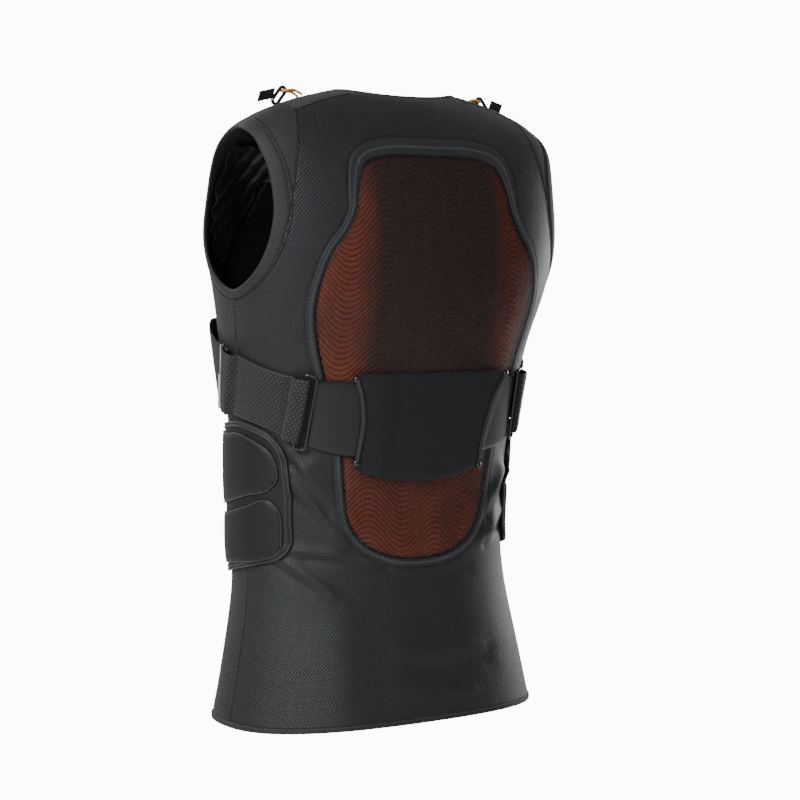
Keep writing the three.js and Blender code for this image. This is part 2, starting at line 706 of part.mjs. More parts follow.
const protectorHalf = PROTECTOR_OUTLINE.map((row) => new THREE.Vector2(
  row.across * PROTECTOR_HALF_WIDTH,
  PROTECTOR_TOP + row.down * PROTECTOR_LENGTH,
));
const protectorLoop = smoothLoop(wholeOutline(protectorHalf), LOOP_POINTS);
const protectorMiddle = new THREE.Vector2(0, PROTECTOR_TOP + PROTECTOR_MIDDLE * PROTECTOR_LENGTH);
const backSpot = (corner) => facingSpot(1, corner.x, corner.y);
const borderEnd = PROTECTOR_TOP + BORDER_TOP_DEPTH;
const borderWidth = (corner) =>
  BORDER_WIDTH + BORDER_TOP_EXTRA * (1 - rising(corner.y, PROTECTOR_TOP, borderEnd));
const windowLoop = grown(protectorLoop, () => WINDOW_MARGIN);
const borderInner = grown(protectorLoop, () => WINDOW_MARGIN + GAP);
const borderOuter = grown(protectorLoop, (c) => WINDOW_MARGIN + GAP + borderWidth(c));
const pocketHole = grown(protectorLoop, (c) => WINDOW_MARGIN + GAP + borderWidth(c) + SEAM_GAP);

// Rings of the protector and the window over it, from the edge in. Bulge is a share of
// PROTECTOR_BULGE, thick how far the foam has grown from PROTECTOR_EDGE to its full depth.
const PROTECTOR_RINGS = table(['share', 'bulge', 'thick'], [
  [1.0, 0.2, 0.0], [0.92, 0.8, 0.65], [0.64, 1.0, 1.0], [0.32, 1.0, 1.0], [0.0, 1.0, 1.0],
]);

function pocketWindow() {
  const profile = PROTECTOR_RINGS.map(({ share, bulge }) => {
    const outer = bulge * PROTECTOR_BULGE;
    return { share, outer, inner: outer - WINDOW_WALL };
  });
  return pad(windowLoop, protectorMiddle, profile, backSpot);
}

function backProtector() {
  const profile = PROTECTOR_RINGS.map(({ share, bulge, thick }) => {
    const outer = bulge * PROTECTOR_BULGE - WINDOW_WALL - LAYER_GAP;
    return { share, outer, inner: outer - lerp(PROTECTOR_EDGE, PROTECTOR_THICKNESS, thick) };
  });
  return pad(protectorLoop, protectorMiddle, profile, backSpot);
}

function pocketBorder() {
  const rows = [borderInner, borderOuter].map((loop) => loop.map(backSpot));
  return sheet(rows, () => -WALL, () => BORDER_PROUD, true);
}

// Rings of the pocket lining: deep is how far it has sunk behind the protector.
const LINING_RINGS = table(['share', 'deep'], [
  [1.0, 0.17], [0.93, 0.85], [0.64, 1.0], [0.32, 1.0], [0.0, 1.0],
]);

function pocketLining() {
  const coarse = smoothLoop(wholeOutline(protectorHalf), LINING_LOOP_POINTS);
  const rim = grown(coarse, (c) => borderWidth(c) + LINING_RIM);
  const depth = WINDOW_WALL + LAYER_GAP + PROTECTOR_THICKNESS + PAD_GAP;
  const profile = LINING_RINGS.map(({ share, deep }) => {
    const outer = -Math.max(deep * depth, WALL + PAD_GAP);
    return { share, outer, inner: outer - LINING_WALL };
  });
  return pad(rim, protectorMiddle, profile, backSpot);
}

const pocketPlug = plug(pocketHole.map(backSpot), POCKET_CUT_REACH, CUT_RISE);

const backPanel = backWall
  .subtract(armholePlugs)
  .subtract(both(shoulderPrism(GAP)))
  .subtract(both(yokePrism(GAP)))
  .subtract(toSolid(pocketPlug));
const frontPanel = frontWall
  .subtract(armholePlugs)
  .subtract(both(shoulderPrism(GAP)))
  .subtract(both(yokePrism(GAP)));

// Edges bound all round

function ringBinding(places) {
  const rows = places.map((place) => ringStations.map((around) => spotAt(place, around)));
  return sheet(rows, () => -WALL - BINDING_PROUD, () => BINDING_PROUD, true);
}

const neckBinding = () => ringBinding([0, NECK_BINDING_ROWS - NECK_GAP_ROWS]);
const hemBinding = () => ringBinding([HEM_BINDING_WIDTH, 0].map(hemPlace));

// Chest pad and the satin lining beside it

const frontSpot = (corner) => facingSpot(-1, corner.x, corner.y);
const chestHalf = CHEST_PAD_OUTLINE.map((row) => new THREE.Vector2(
  row.across * CHEST_PAD_HALF_WIDTH,
  CHEST_PAD_TOP + row.down * CHEST_PAD_HEIGHT,
));

const CHEST_PAD_RINGS = table(['share', 'thick'], [
  [1.0, 0.35], [0.9, 0.9], [0.6, 1.0], [0.3, 1.0], [0.0, 1.0],
]);

function chestPad() {
  const loop = smoothLoop(wholeOutline(chestHalf), CHEST_LOOP_POINTS);
  const middle = new THREE.Vector2(0, CHEST_PAD_TOP + CHEST_PAD_MIDDLE * CHEST_PAD_HEIGHT);
  const outer = -WALL - PAD_GAP;
  const profile = CHEST_PAD_RINGS.map(({ share, thick }) => ({
    share,
    outer,
    inner: outer - CHEST_PAD_THICKNESS * thick,
  }));
  return pad(loop, middle, profile, frontSpot);
}

// The lining fills the inside of the front between the chest pad and the armhole's edge, in
// creases that run slantwise.
function sideLining() {
  const top = CHEST_PAD_TOP - SATIN_TOP_RISE;
  const bottom = CHEST_PAD_TOP + SATIN_BOTTOM * CHEST_PAD_HEIGHT;
  const edgeY = ARMHOLE_MIDDLE_Y - ARMHOLE_DEPTH / 2 - BINDING_WIDTH - PAD_GAP;
  const outline = chestHalf.slice(2, 9).map((corner) => ({ drop: corner.y, x: corner.x }));
  const spots = Array.from({ length: SATIN_ROWS }, (_, r) => {
    const drop = lerp(top, bottom, r / (SATIN_ROWS - 1));
    const inside = readWhere(outline, 'drop', drop).x + SATIN_MARGIN;
    const outside = sideSpot(edgeY, drop).point.x;
    return Array.from({ length: SATIN_COLUMNS }, (_, c) =>
      facingSpot(-1, lerp(inside, outside, c / (SATIN_COLUMNS - 1)), drop),
    );
  });
  const [turnDown, turnAcross] = SATIN_FOLD_TURNS;
  const fold = (r, c) => (SATIN_FOLD / 2) * (1 + Math.sin(turnAcross * c + turnDown * r));
  const outer = (r, c) => -WALL - PAD_GAP - fold(r, c);
  return sheet(spots, (r, c) => outer(r, c) - LINING_WALL, outer);
}

// Belt

function beltAt(around) {
  const row = readWhere(BELT_WAY, 'around', around);
  const top = BELT_DROP - row.rise * BELT_WIDTH;
  const bottom = top + row.width * BELT_WIDTH;
  return { top, bottom, lift: row.lift * BELT_LIFT, slant: row.slant };
}

// The spot at a share of the belt's width down from its top edge. A line across the belt is
// slanted, so its top lies further round to the back than its bottom.
function beltSpot(around, share) {
  const at = around + beltAt(around).slant * (1 / 2 - share);
  const band = beltAt(at);
  return levelSpot(degrees(at), lerp(band.top, band.bottom, share));
}

function beltSpots(arounds) {
  return Array.from({ length: BELT_ROWS }, (_, r) =>
    arounds.map((around) => beltSpot(around, r / (BELT_ROWS - 1))));
}

function beltWing() {
  return sheet(beltSpots(WING_AROUND), () => WING_LIFT, () => WING_LIFT + WING_THICKNESS);
}

const sideLift = beltAt(SIDE_RING_AROUND).lift + STRAP_THICKNESS + LAYER_GAP;
const backLift = WING_LIFT + WING_THICKNESS + LAYER_GAP;

// A ring stands across the belt, flat on the body: its y runs up the belt's edge to edge line,
// and it rises so as to lie on the highest of the belt's edges and its middle.
function ringPlace(around, height) {
  const [top, spot, bottom] = [0, 1 / 2, 1].map((share) => beltSpot(around, share));
  const y = top.point.clone().sub(bottom.point).normalize();
  const x = y.clone().cross(spot.normal).normalize();
  const z = x.clone().cross(y);
  const seat = lifted(spot, height);
  const rises = [top, bottom].map((edge) => lifted(edge, height).sub(seat).dot(z));
  const rise = Math.max(0, ...rises);
  seat.addScaledVector(z, rise);
  return { rise, frame: new THREE.Matrix4().makeBasis(x, y, z).setPosition(seat) };
}

// The elastic strap folds over the near bar of each ring: at either end its cloth turns down
// behind the bar.
function beltElastic() {
  const overRing = (around, height) =>
    height + ringPlace(around, height).rise + RING_THICKNESS + RING_TWIST + LAYER_GAP;
  const overBack = overRing(BACK_RING_AROUND, backLift);
  const overSide = overRing(SIDE_RING_AROUND, sideLift);
  const [backEnd, backBar, backPast, backDown] = BACK_TURN.map((turn) => BACK_RING_AROUND - turn);
  const [sideEnd, sideBar, sidePast, sideDown] = SIDE_TURN.map((turn) => SIDE_RING_AROUND + turn);
  const stations = [
    { around: backEnd, low: LAYER_GAP, high: overBack },
    { around: backBar, low: overBack, high: overBack },
    { around: backPast, low: overBack, high: overBack },
  ];
  for (let i = 0; i <= ELASTIC_STEPS; i += 1) {
    const around = lerp(backDown, sideDown, i / ELASTIC_STEPS);
    const low = Math.max(LAYER_GAP, beltAt(around).lift);
    stations.push({ around, low, high: low });
  }
  stations.push({ around: sidePast, low: overSide, high: overSide });
  stations.push({ around: sideBar, low: overSide, high: overSide });
  stations.push({ around: sideEnd, low: LAYER_GAP, high: overSide });
  const spots = beltSpots(stations.map((station) => station.around));
  return sheet(spots, (r, c) => stations[c].low, (r, c) => stations[c].high + STRAP_THICKNESS);
}

// The front half of the belt, from the side ring to its lap over the other at the front.
function frontStrap(lapLift) {
  const [start, past, middle] = FRONT_STRAP_AROUND;
  const end = middle - FRONT_OVERLAP;
  const arounds = [start];
  for (let i = 0; i <= FRONT_STRAP_STEPS; i += 1) {
    arounds.push(lerp(past, end, i / FRONT_STRAP_STEPS));
  }
  const lift = (c) => beltAt(arounds[c]).lift + lapLift * rising(-arounds[c], ...FRONT_LAP_AROUND);
  return sheet(beltSpots(arounds), (r, c) => lift(c), (r, c) => lift(c) + STRAP_THICKNESS);
}

function beltTunnel() {
  const spots = Array.from({ length: TUNNEL_ROWS }, (_, r) => {
    const down = r / (TUNNEL_ROWS - 1);
    const edge = readWhere(TUNNEL_EDGES, 'down', down);
    return Array.from({ length: TUNNEL_COLUMNS }, (_, c) => {
      const share = c / (TUNNEL_COLUMNS - 1);
      const sag = TUNNEL_SAG * (1 - (2 * share - 1) ** 2) * down;
      const x = lerp(edge.left, edge.right, share) * TUNNEL_HALF_WIDTH;
      return facingSpot(1, x, TUNNEL_DROP + down * TUNNEL_HEIGHT + sag);
    });
  });
  const over = WING_LIFT + WING_THICKNESS + GAP;
  const middle = PROTECTOR_BULGE + LAYER_GAP;
  const fromMiddle = (c) => Math.abs((2 * c) / (TUNNEL_COLUMNS - 1) - 1);
  const lift = (r, c) => lerp(middle, over, rising(fromMiddle(c), ...TUNNEL_STEP));
  return sheet(spots, lift, (r, c) => lift(r, c) + TUNNEL_WALL);
}

function roundedRectangle(path, width, height, corner) {
  const [w, h] = [width / 2, height / 2];
  path.moveTo(-w + corner, -h);
  path.lineTo(w - corner, -h);
  path.absarc(w - corner, -h + corner, corner, -Math.PI / 2, 0, false);
  path.lineTo(w, h - corner);
  path.absarc(w - corner, h - corner, corner, 0, Math.PI / 2, false);
  path.lineTo(-w + corner, h);
  path.absarc(-w + corner, h - corner, corner, Math.PI / 2, Math.PI, false);
  path.lineTo(-w, -h + corner);
  path.absarc(-w + corner, -h + corner, corner, Math.PI, 1.5 * Math.PI, false);
  return path;
}

function flatRing(width, height, wire, thickness, corner) {
  const shape = roundedRectangle(new THREE.Shape(), width, height, corner);
  shape.holes.push(roundedRectangle(
    new THREE.Path(),
    width - 2 * wire,
    height - 2 * wire,
    Math.max(RING_INNER_CORNER, corner - wire),
  ));
  return new THREE.ExtrudeGeometry(shape, {
    depth: thickness,
    bevelEnabled: false,
    curveSegments: RING_CORNER_STEPS,
  });
}

function beltRing(around, height) {
  const ring = flatRing(RING_WIDTH, RING_HEIGHT, RING_WIRE, RING_THICKNESS, RING_CORNER);
  return ring.applyMatrix4(ringPlace(around, height).frame);
}

// Side pads

const sideCorner = (row) => new THREE.Vector2(
  SIDE_PAD_MIDDLE_Y + row.along * SIDE_PAD_DEPTH,
  SIDE_PAD_TOP + row.down * SIDE_PAD_HEIGHT,
);

function sidePiece(outline, count, profile) {
  const loop = smoothLoop(outline.map(sideCorner), count);
  const middle = loop.reduce((sum, corner) => sum.add(corner), new THREE.Vector2());
  middle.multiplyScalar(1 / loop.length);
  return pad(loop, middle, profile, (corner) => sideSpot(corner.x, corner.y));
}

// The height of a side pad's outer face from its edge in, as a share of its own thickness.
const SIDE_PAD_RINGS = table(['share', 'height'], [
  [1.0, 0.75], [0.94, 1.0], [0.64, 1.0], [0.32, 1.0], [0.0, 1.0],
]);
const LOBE_RINGS = table(['share', 'height'], [
  [1.0, 0.3], [0.88, 0.85], [0.5, 1.0], [0.0, 1.0],
]);

function raised(rings, seat, thickness) {
  return rings.map(({ share, height }) => ({
    share,
    inner: seat,
    outer: seat + height * thickness,
  }));
}

const sidePad = () =>
  sidePiece(SIDE_PAD_OUTLINE, PAD_LOOP_POINTS, raised(SIDE_PAD_RINGS, SIDE_PAD_SEAT, SIDE_PAD_BASE));

const lobeRings = raised(LOBE_RINGS, 2 * SIDE_PAD_SEAT + SIDE_PAD_BASE, SIDE_PAD_LOBE);
const sideLobe = (outline) => sidePiece(outline, LOBE_LOOP_POINTS, lobeRings);

// Shoulder fittings: a clip that stands in the seam beside the yoke, a folded tab on it, and
// an elastic cord drawn through it from the yoke

// The spot of the shoulder straight below a point.
function topSpot(x, y) {
  const at = (place) => {
    const section = sectionAt(place);
    const cosine = clamp(x / section.halfWidth, 0, 1) ** (1 / section.power);
    const sine = Math.sqrt(1 - cosine * cosine) * (y >= section.seamY ? 1 : -1);
    return { around: Math.atan2(sine, cosine), seamY: section.seamY };
  };
  const reach = (place) => {
    const { around, seamY } = at(place);
    return Math.abs(smoothPoint(place, around).y - seamY) - Math.abs(y - seamY);
  };
  const place = solvePlace(reach, 0);
  return spotAt(place, at(place).around);
}

const clipTilt = degrees(CLIP_TILT);
const clipUp = new THREE.Vector3(-Math.sin(clipTilt), 0, Math.cos(clipTilt));
const clipFoot = lifted(topSpot(CLIP_X, CLIP_Y), CLIP_SEAT);
const clipFrame = new THREE.Matrix4().makeBasis(
  clipUp.clone().cross(new THREE.Vector3(0, 1, 0)),
  clipUp,
  new THREE.Vector3(0, 1, 0),
);

function shoulderClip() {
  const ring = flatRing(CLIP_WIDTH, CLIP_LENGTH, CLIP_WIRE, CLIP_THICKNESS, CLIP_CORNER);
  ring.translate(0, CLIP_LENGTH / 2, -CLIP_THICKNESS / 2);
  return ring.applyMatrix4(clipFrame.clone().setPosition(clipFoot));
}

function shoulderTab() {
  const corners = [
    [0, 0], [TAB_LENGTH, -TAB_SLANT], [TAB_LENGTH, TAB_WIDTH - TAB_SLANT], [0, TAB_WIDTH],
  ].map(([x, y]) => new THREE.Vector2(x, y));
  const place = new THREE.Matrix4().makeRotationX(degrees(TAB_TILT));
  const hold = clipFoot.clone().addScaledVector(clipUp, TAB_HOLD);
  hold.add(new THREE.Vector3(CLIP_WIDTH / 2 + GAP + SEAM_GAP, CLIP_THICKNESS / 2, 0));
  return prism(corners, TAB_THICKNESS, place.setPosition(hold));
}

function shoulderCord() {
  const height = CLIP_LENGTH - CLIP_WIRE - CORD_RADIUS - LAYER_GAP;
  const through = clipFoot.clone().addScaledVector(clipUp, height);
  const end = (side) => lifted(
    topSpot(CLIP_X - CORD_REACH, CLIP_Y + side * CORD_SPREAD),
    CORD_RADIUS + LAYER_GAP,
  );
  const beside = (side) => through.clone().add(
    new THREE.Vector3(-CORD_TURN, side * (CORD_SPREAD - GAP), 0),
  );
  const rise = new THREE.Vector3(0, 0, CORD_ARCH);
  const halfway = (side) => end(side).lerp(beside(side), 1 / 2).add(rise);
  const route = new THREE.CatmullRomCurve3(
    [end(-1), halfway(-1), beside(-1), through, beside(1), halfway(1), end(1)],
    false,
    'centripetal',
  );
  const section = new THREE.Shape(Array.from({ length: CORD_SIDES }, (_, i) => {
    const turn = (2 * Math.PI * i) / CORD_SIDES;
    return new THREE.Vector2(Math.cos(turn), Math.sin(turn)).multiplyScalar(CORD_RADIUS);
  }));
  return new THREE.ExtrudeGeometry(section, { steps: CORD_STEPS, extrudePath: route });
}

const parts = new THREE.Group();

function add(name, look, geometry) {
  const mesh = new THREE.Mesh(geometry, new THREE.MeshStandardMaterial(LOOKS[look]));
  mesh.name = name;
  parts.add(mesh);
}

function addPair(name, look, geometry) {
  add(`${name}_left`, look, geometry);
  add(`${name}_right`, look, mirrored(geometry));
}

add('back_panel', 'body_mesh', toGeometry(backPanel));
add('front_panel', 'body_mesh', toGeometry(frontPanel));
addPair('shoulder_panel', 'smooth_cloth', toGeometry(shoulderPanel));
addPair('shoulder_yoke', 'ruched_cloth', toGeometry(yoke));
add('neck_binding', 'binding', neckBinding());
add('hem_binding', 'binding', hemBinding());
addPair('armhole_binding', 'binding', armholeBinding());
add('pocket_window', 'window_mesh', pocketWindow());
add('pocket_border', 'binding', pocketBorder());
add('back_protector', 'foam_orange', backProtector());
add('pocket_lining', 'smooth_cloth', pocketLining());
add('chest_pad', 'neoprene', chestPad());
addPair('side_lining', 'satin_lining', sideLining());
add('belt_tunnel', 'tunnel_cloth', beltTunnel());
addPair('belt_wing', 'coated_wing', beltWing());
addPair('belt_elastic', 'elastic', beltElastic());
add('belt_front_left', 'elastic', frontStrap(STRAP_THICKNESS + LAYER_GAP));
add('belt_front_right', 'elastic', mirrored(frontStrap(0)));
addPair('belt_ring_back', 'ring_plastic', beltRing(BACK_RING_AROUND, backLift));
addPair('belt_ring_side', 'ring_plastic', beltRing(SIDE_RING_AROUND, sideLift));
addPair('shoulder_clip', 'ring_plastic', shoulderClip());
addPair('shoulder_tab', 'binding', shoulderTab());
addPair('shoulder_cord', 'cord_orange', shoulderCord());
addPair('side_pad', 'neoprene', sidePad());
for (const [name, outline] of Object.entries(SIDE_LOBES)) {
  addPair(`side_pad_${name}`, 'neoprene', sideLobe(outline));
}

export default parts;
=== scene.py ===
# %% [markdown]
# # A protective vest
# This notebook dresses a imported CAD model of a sleeveless vest: stretch mesh, a foam back
# protector behind a sheer window, a belt drawn through rings, and padded sides. The CAD solids
# say where everything is. Each step here makes one piece of cloth, foam or plastic on the same
# body form, gives it a material, and hides the solid it stands for, where it has one.

# %% Tools and the frame
import math

import bmesh
import bpy
import numpy as np
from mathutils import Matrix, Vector


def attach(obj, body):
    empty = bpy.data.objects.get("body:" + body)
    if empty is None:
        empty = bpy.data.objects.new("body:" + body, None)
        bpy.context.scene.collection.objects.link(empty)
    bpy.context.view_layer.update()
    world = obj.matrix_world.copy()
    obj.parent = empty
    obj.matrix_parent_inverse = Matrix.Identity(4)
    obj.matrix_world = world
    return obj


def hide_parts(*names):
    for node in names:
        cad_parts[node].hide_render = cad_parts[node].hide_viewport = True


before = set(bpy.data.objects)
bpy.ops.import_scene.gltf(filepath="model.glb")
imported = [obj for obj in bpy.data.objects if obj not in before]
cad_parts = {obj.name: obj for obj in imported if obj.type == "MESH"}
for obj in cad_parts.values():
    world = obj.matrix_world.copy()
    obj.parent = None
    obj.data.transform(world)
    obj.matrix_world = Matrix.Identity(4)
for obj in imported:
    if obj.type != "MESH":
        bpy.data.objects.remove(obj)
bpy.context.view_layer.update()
MM = 0.001
print("the frame has", len(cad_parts), "nodes")

# %% [markdown]
# ## Camera, light and floor
# The camera stands behind the wearer's left shoulder, a little above the waist, with a long
# lens, so that the vest is drawn almost without perspective. A large soft light on the left
# models the form, a weaker one fills the right, and a strip light behind gives thin edges of
# light to the plastic. The floor is far below, because the vest hangs as if it were worn. Floor
# and world look white to the camera, as a backdrop that is lit by itself does in a studio, but
# they throw little light on the dark cloth. A Light Path node tells the two apart.

# %% Camera
AIM = Vector((0, 0, -0.340))
BACK = Vector((0.543, 0.837, 0.070))
CAMERA_DISTANCE = 2.1
camera_data = bpy.data.cameras.new("camera")
camera_data.lens = 90.2
camera_data.sensor_width = 36
camera_data.shift_x = 0.036
camera_data.shift_y = 0.0175
camera = bpy.data.objects.new("camera", camera_data)
camera.location = AIM + CAMERA_DISTANCE * BACK
camera.rotation_euler = (-BACK).to_track_quat("-Z", "Y").to_euler()
bpy.context.scene.collection.objects.link(camera)
bpy.context.scene.camera = camera
print("the camera stands at", [round(value, 3) for value in camera.location])


# %% Lights
def area_light(name, azimuth, elevation, distance, size, power, colour=(1, 1, 1)):
    """A soft square light that looks at the vest from a direction, in degrees."""
    a, e = math.radians(azimuth), math.radians(elevation)
    way = Vector((math.sin(a) * math.cos(e), -math.cos(a) * math.cos(e), math.sin(e)))
    data = bpy.data.lights.new(name, "AREA")
    data.shape = "SQUARE"
    data.size = size
    data.energy = power
    data.color = colour
    light = bpy.data.objects.new(name, data)
    light.location = AIM + distance * way
    light.rotation_euler = (-way).to_track_quat("-Z", "Y").to_euler()
    bpy.context.scene.collection.objects.link(light)


area_light("key", 112, 32, 2.6, 0.9, 62, (0.95, 0.98, 1.0))
area_light("fill", 190, 20, 3.0, 2.0, 6)
area_light("armhole_light", 134, 6, 2.4, 0.8, 5)
area_light("front_fill", 10, 25, 3.0, 1.6, 26)
area_light("edge", 286, 4, 2.6, 0.8, 26)

# %% World and floor
LIT_STRENGTH, SEEN_STRENGTH, FLOOR_GLOW = 0.13, 12.0, 0.05
world = bpy.data.worlds.new("studio")
world.use_nodes = True
backdrop = world.node_tree.nodes["Background"]
backdrop.inputs["Color"].default_value = (1, 1, 1, 1)
seen = world.node_tree.nodes.new("ShaderNodeLightPath").outputs["Is Camera Ray"]
strength = world.node_tree.nodes.new("ShaderNodeMapRange")
strength.inputs["To Min"].default_value = LIT_STRENGTH
strength.inputs["To Max"].default_value = SEEN_STRENGTH
world.node_tree.links.new(seen, strength.inputs["Value"])
world.node_tree.links.new(strength.outputs["Result"], backdrop.inputs["Strength"])
bpy.context.scene.world = world

FLOOR_Z = -1.15
bpy.ops.mesh.primitive_plane_add(size=30, location=(0, 0, FLOOR_Z))
floor = bpy.context.object
floor.name = "floor"
floor_material = bpy.data.materials.new("pale_floor")
floor_material.use_nodes = True
floor_shader = floor_material.node_tree.nodes["Principled BSDF"]
floor_shader.inputs["Base Color"].default_value = (0.9, 0.9, 0.9, 1)
floor_shader.inputs["Roughness"].default_value = 0.9
floor_shader.inputs["Emission Color"].default_value = (1, 1, 1, 1)
floor_seen = floor_material.node_tree.nodes.new("ShaderNodeLightPath").outputs["Is Camera Ray"]
floor_glow = floor_material.node_tree.nodes.new("ShaderNodeMapRange")
floor_glow.inputs["To Min"].default_value = FLOOR_GLOW
floor_glow.inputs["To Max"].default_value = SEEN_STRENGTH
floor_material.node_tree.links.new(floor_seen, floor_glow.inputs["Value"])
floor_material.node_tree.links.new(
    floor_glow.outputs["Result"], floor_shader.inputs["Emission Strength"]
)
floor.data.materials.append(floor_material)
print("the floor lies at", FLOOR_Z, "m")

# %% [markdown]
# ## The body form
# Everything lies on one form: fifteen ovals down the torso, joined by a smooth spline. A spot
# on it has a place down the rows and an angle around, and its normal tells which way a layer
# of cloth is stacked. Three solvers find the spot behind a point seen from the back, the front
# or the side, so a pattern piece can be drawn flat and laid on the body.

# %% The sections of the form
VEST_DROP = 0.650
CHEST_HALF_WIDTH = 0.196
BACK_DEPTH = 0.129
FRONT_DEPTH = 0.104
WALL = 1.6 * MM
# drop at the back, side and front; half width; back; side seam; front; squareness
SECTIONS = np.array([
    [0.023, 0.014, 0.129, 0.337, 0.527, 0.295, 0.404, 2.2],
    [0.034, 0.020, 0.145, 0.439, 0.620, 0.295, 0.519, 2.2],
    [0.057, 0.034, 0.160, 0.612, 0.721, 0.295, 0.654, 2.25],
    [0.091, 0.057, 0.178, 0.806, 0.822, 0.295, 0.788, 2.3],
    [0.135, 0.095, 0.203, 0.949, 0.899, 0.287, 0.875, 2.35],
    [0.185, 0.160, 0.231, 0.995, 0.961, 0.279, 0.933, 2.4],
    [0.246, 0.237, 0.271, 1.000, 1.000, 0.264, 0.962, 2.4],
    [0.323, 0.323, 0.323, 0.939, 0.992, 0.217, 0.981, 2.35],
    [0.415, 0.415, 0.415, 0.867, 0.907, 0.085, 1.000, 2.3],
    [0.523, 0.523, 0.523, 0.801, 0.822, 0.000, 1.000, 2.3],
    [0.631, 0.631, 0.631, 0.781, 0.736, -0.047, 1.019, 2.3],
    [0.723, 0.723, 0.723, 0.770, 0.729, -0.062, 1.019, 2.3],
    [0.800, 0.800, 0.800, 0.781, 0.760, -0.008, 1.019, 2.3],
    [0.908, 0.908, 0.908, 0.847, 0.868, 0.023, 1.038, 2.3],
    [0.989, 0.998, 1.006, 0.908, 0.946, 0.031, 1.096, 2.3],
])
SECTIONS[:, 0:3] *= VEST_DROP
SECTIONS[:, 3] *= CHEST_HALF_WIDTH
SECTIONS[:, 4:6] *= BACK_DEPTH
SECTIONS[:, 6] *= FRONT_DEPTH
LAST_SECTION = len(SECTIONS) - 1
PADDED = np.vstack([2 * SECTIONS[0] - SECTIONS[1], SECTIONS, 2 * SECTIONS[-1] - SECTIONS[-2]])
print(len(SECTIONS), "sections, the widest", 2 * SECTIONS[:, 3].max(), "m across")


def section_at(place):
    """The oval at any place down the form, as eight arrays, through a Catmull-Rom spline."""
    place = np.asarray(place, float)
    i = np.clip(np.floor(place).astype(int), 0, LAST_SECTION - 1)
    t = (place - i)[..., None]
    a, b, c, d = PADDED[i], PADDED[i + 1], PADDED[i + 2], PADDED[i + 3]
    row = (
        (2 * t**3 - 3 * t**2 + 1) * b
        + (t**3 - 2 * t**2 + t) * (c - a) / 2
        + (3 * t**2 - 2 * t**3) * c
        + (t**3 - t**2) * (d - b) / 2
    )
    return np.moveaxis(row, -1, 0)


def smooth_form(place, around):
    """The outer face of the cloth without folds."""
    drop_back, drop_side, drop_front, width, back, seam, front, square = section_at(place)
    cosine, sine = np.cos(around), np.sin(around)
    power = 2 / square
    end_y = np.where(sine >= 0, back, -front)
    end_drop = np.where(sine >= 0, drop_back, drop_front)
    x = width * np.sign(cosine) * np.abs(cosine) ** power
    y = seam + (end_y - seam) * np.abs(sine) ** power
    z = -(drop_side + (end_drop - drop_side) * sine**2)
    return np.stack(np.broadcast_arrays(x, y, z), -1)


# %% [markdown]
# ### Folds
# The cloth is drawn tight between the belt ring, the side pad and the pocket, and that pulls
# ridges into it. Each ridge is a line with a height and a spread, and a few are hollows. They
# are added along the normal, so every layer that lies on the cloth follows them.

# %% Folds of the back
# x and drop of both ends, height, spread, all in millimetres
MAIN_FOLDS = np.array([
    [117.6, 385, 78.4, 440, 4.0, 10],
    [127.4, 392, 92.1, 462, 2.8, 9],
    [-117.6, 398, -98, 462, 3.2, 10],
    [96, 559, 98, 640, 3.6, 26],
    [-9.8, 601, -74.5, 588, -2.0, 14],
]) * MM
FINE_FOLDS = np.array([
    [134, 368, 82, 449, 1.9, 3.4],
    [131, 380, 98, 428, -1.7, 4.0],
    [130, 402, 84, 459, 1.5, 4.2],
    [128, 415, 100, 446, -1.2, 4.5],
    [128, 468, 60, 478, 1.5, 4.5],
    [118, 477, 40, 487, -1.8, 4.5],
    [136, 478, 98, 513, 1.4, 5.0],
    [142, 482, 116, 507, -1.1, 4.5],
    [128, 484, 86, 522, 0.9, 5.5],
    [-92, 432, -122, 400, 1.4, 5.0],
    [-94, 446, -130, 418, -1.2, 5.0],
    [-84, 466, -134, 440, 1.5, 6.0],
    [-90, 474, -130, 458, -1.3, 5.0],
    [40, 569, -72, 576, 0.7, 6.0],
    [26, 588, -26, 593, -0.8, 6.0],
    [46, 608, -50, 618, 0.6, 7.0],
    [20, 500, -60, 497, -0.6, 8.0],
    [120, 216, 150, 262, 0.6, 8.0],
    [60, 40, 104, 92, 0.6, 9.0],
]) * MM
FINE_FOLDS[:, 4] *= 1.5
FOLDS = np.vstack([MAIN_FOLDS, FINE_FOLDS])
print(len(FOLDS), "folds, the highest", round(FOLDS[:, 4].max() / MM, 1), "mm")


def fold_height(points):
    """How far the cloth stands out of the smooth form at each point."""
    height = np.zeros(points.shape[:-1])
    flat = np.stack([points[..., 0], -points[..., 2]], -1)
    for x0, drop0, x1, drop1, high, reach in FOLDS:
        start, line = np.array([x0, drop0]), np.array([x1 - x0, drop1 - drop0])
        share = np.clip(((flat - start) @ line) / (line @ line), 0, 1)
        away = np.linalg.norm(flat - start - share[..., None] * line, axis=-1) / reach
        height += high * np.exp(-away * away)
    return np.where(points[..., 1] > 0, height, 0)


def on_form(place, around):
    """Points on the cloth and the normals of the form there."""
    step = 2e-3
    place, around = np.broadcast_arrays(np.asarray(place, float), np.asarray(around, float))
    point = smooth_form(place, around)
    down = smooth_form(place + step, around) - smooth_form(place - step, around)
    along = smooth_form(place, around + step) - smooth_form(place, around - step)
    normal = np.cross(down, along)
    normal /= np.linalg.norm(normal, axis=-1, keepdims=True)
    return point + normal * fold_height(point)[..., None], normal


# %% [markdown]
# ### Finding a spot
# The form gives a point for each place and angle, but a pattern is drawn the other way round,
# as seen from the back or the side. A formula for that would be long, so each solver halves a
# range until the drop is right. It does so for a whole array of points at once.

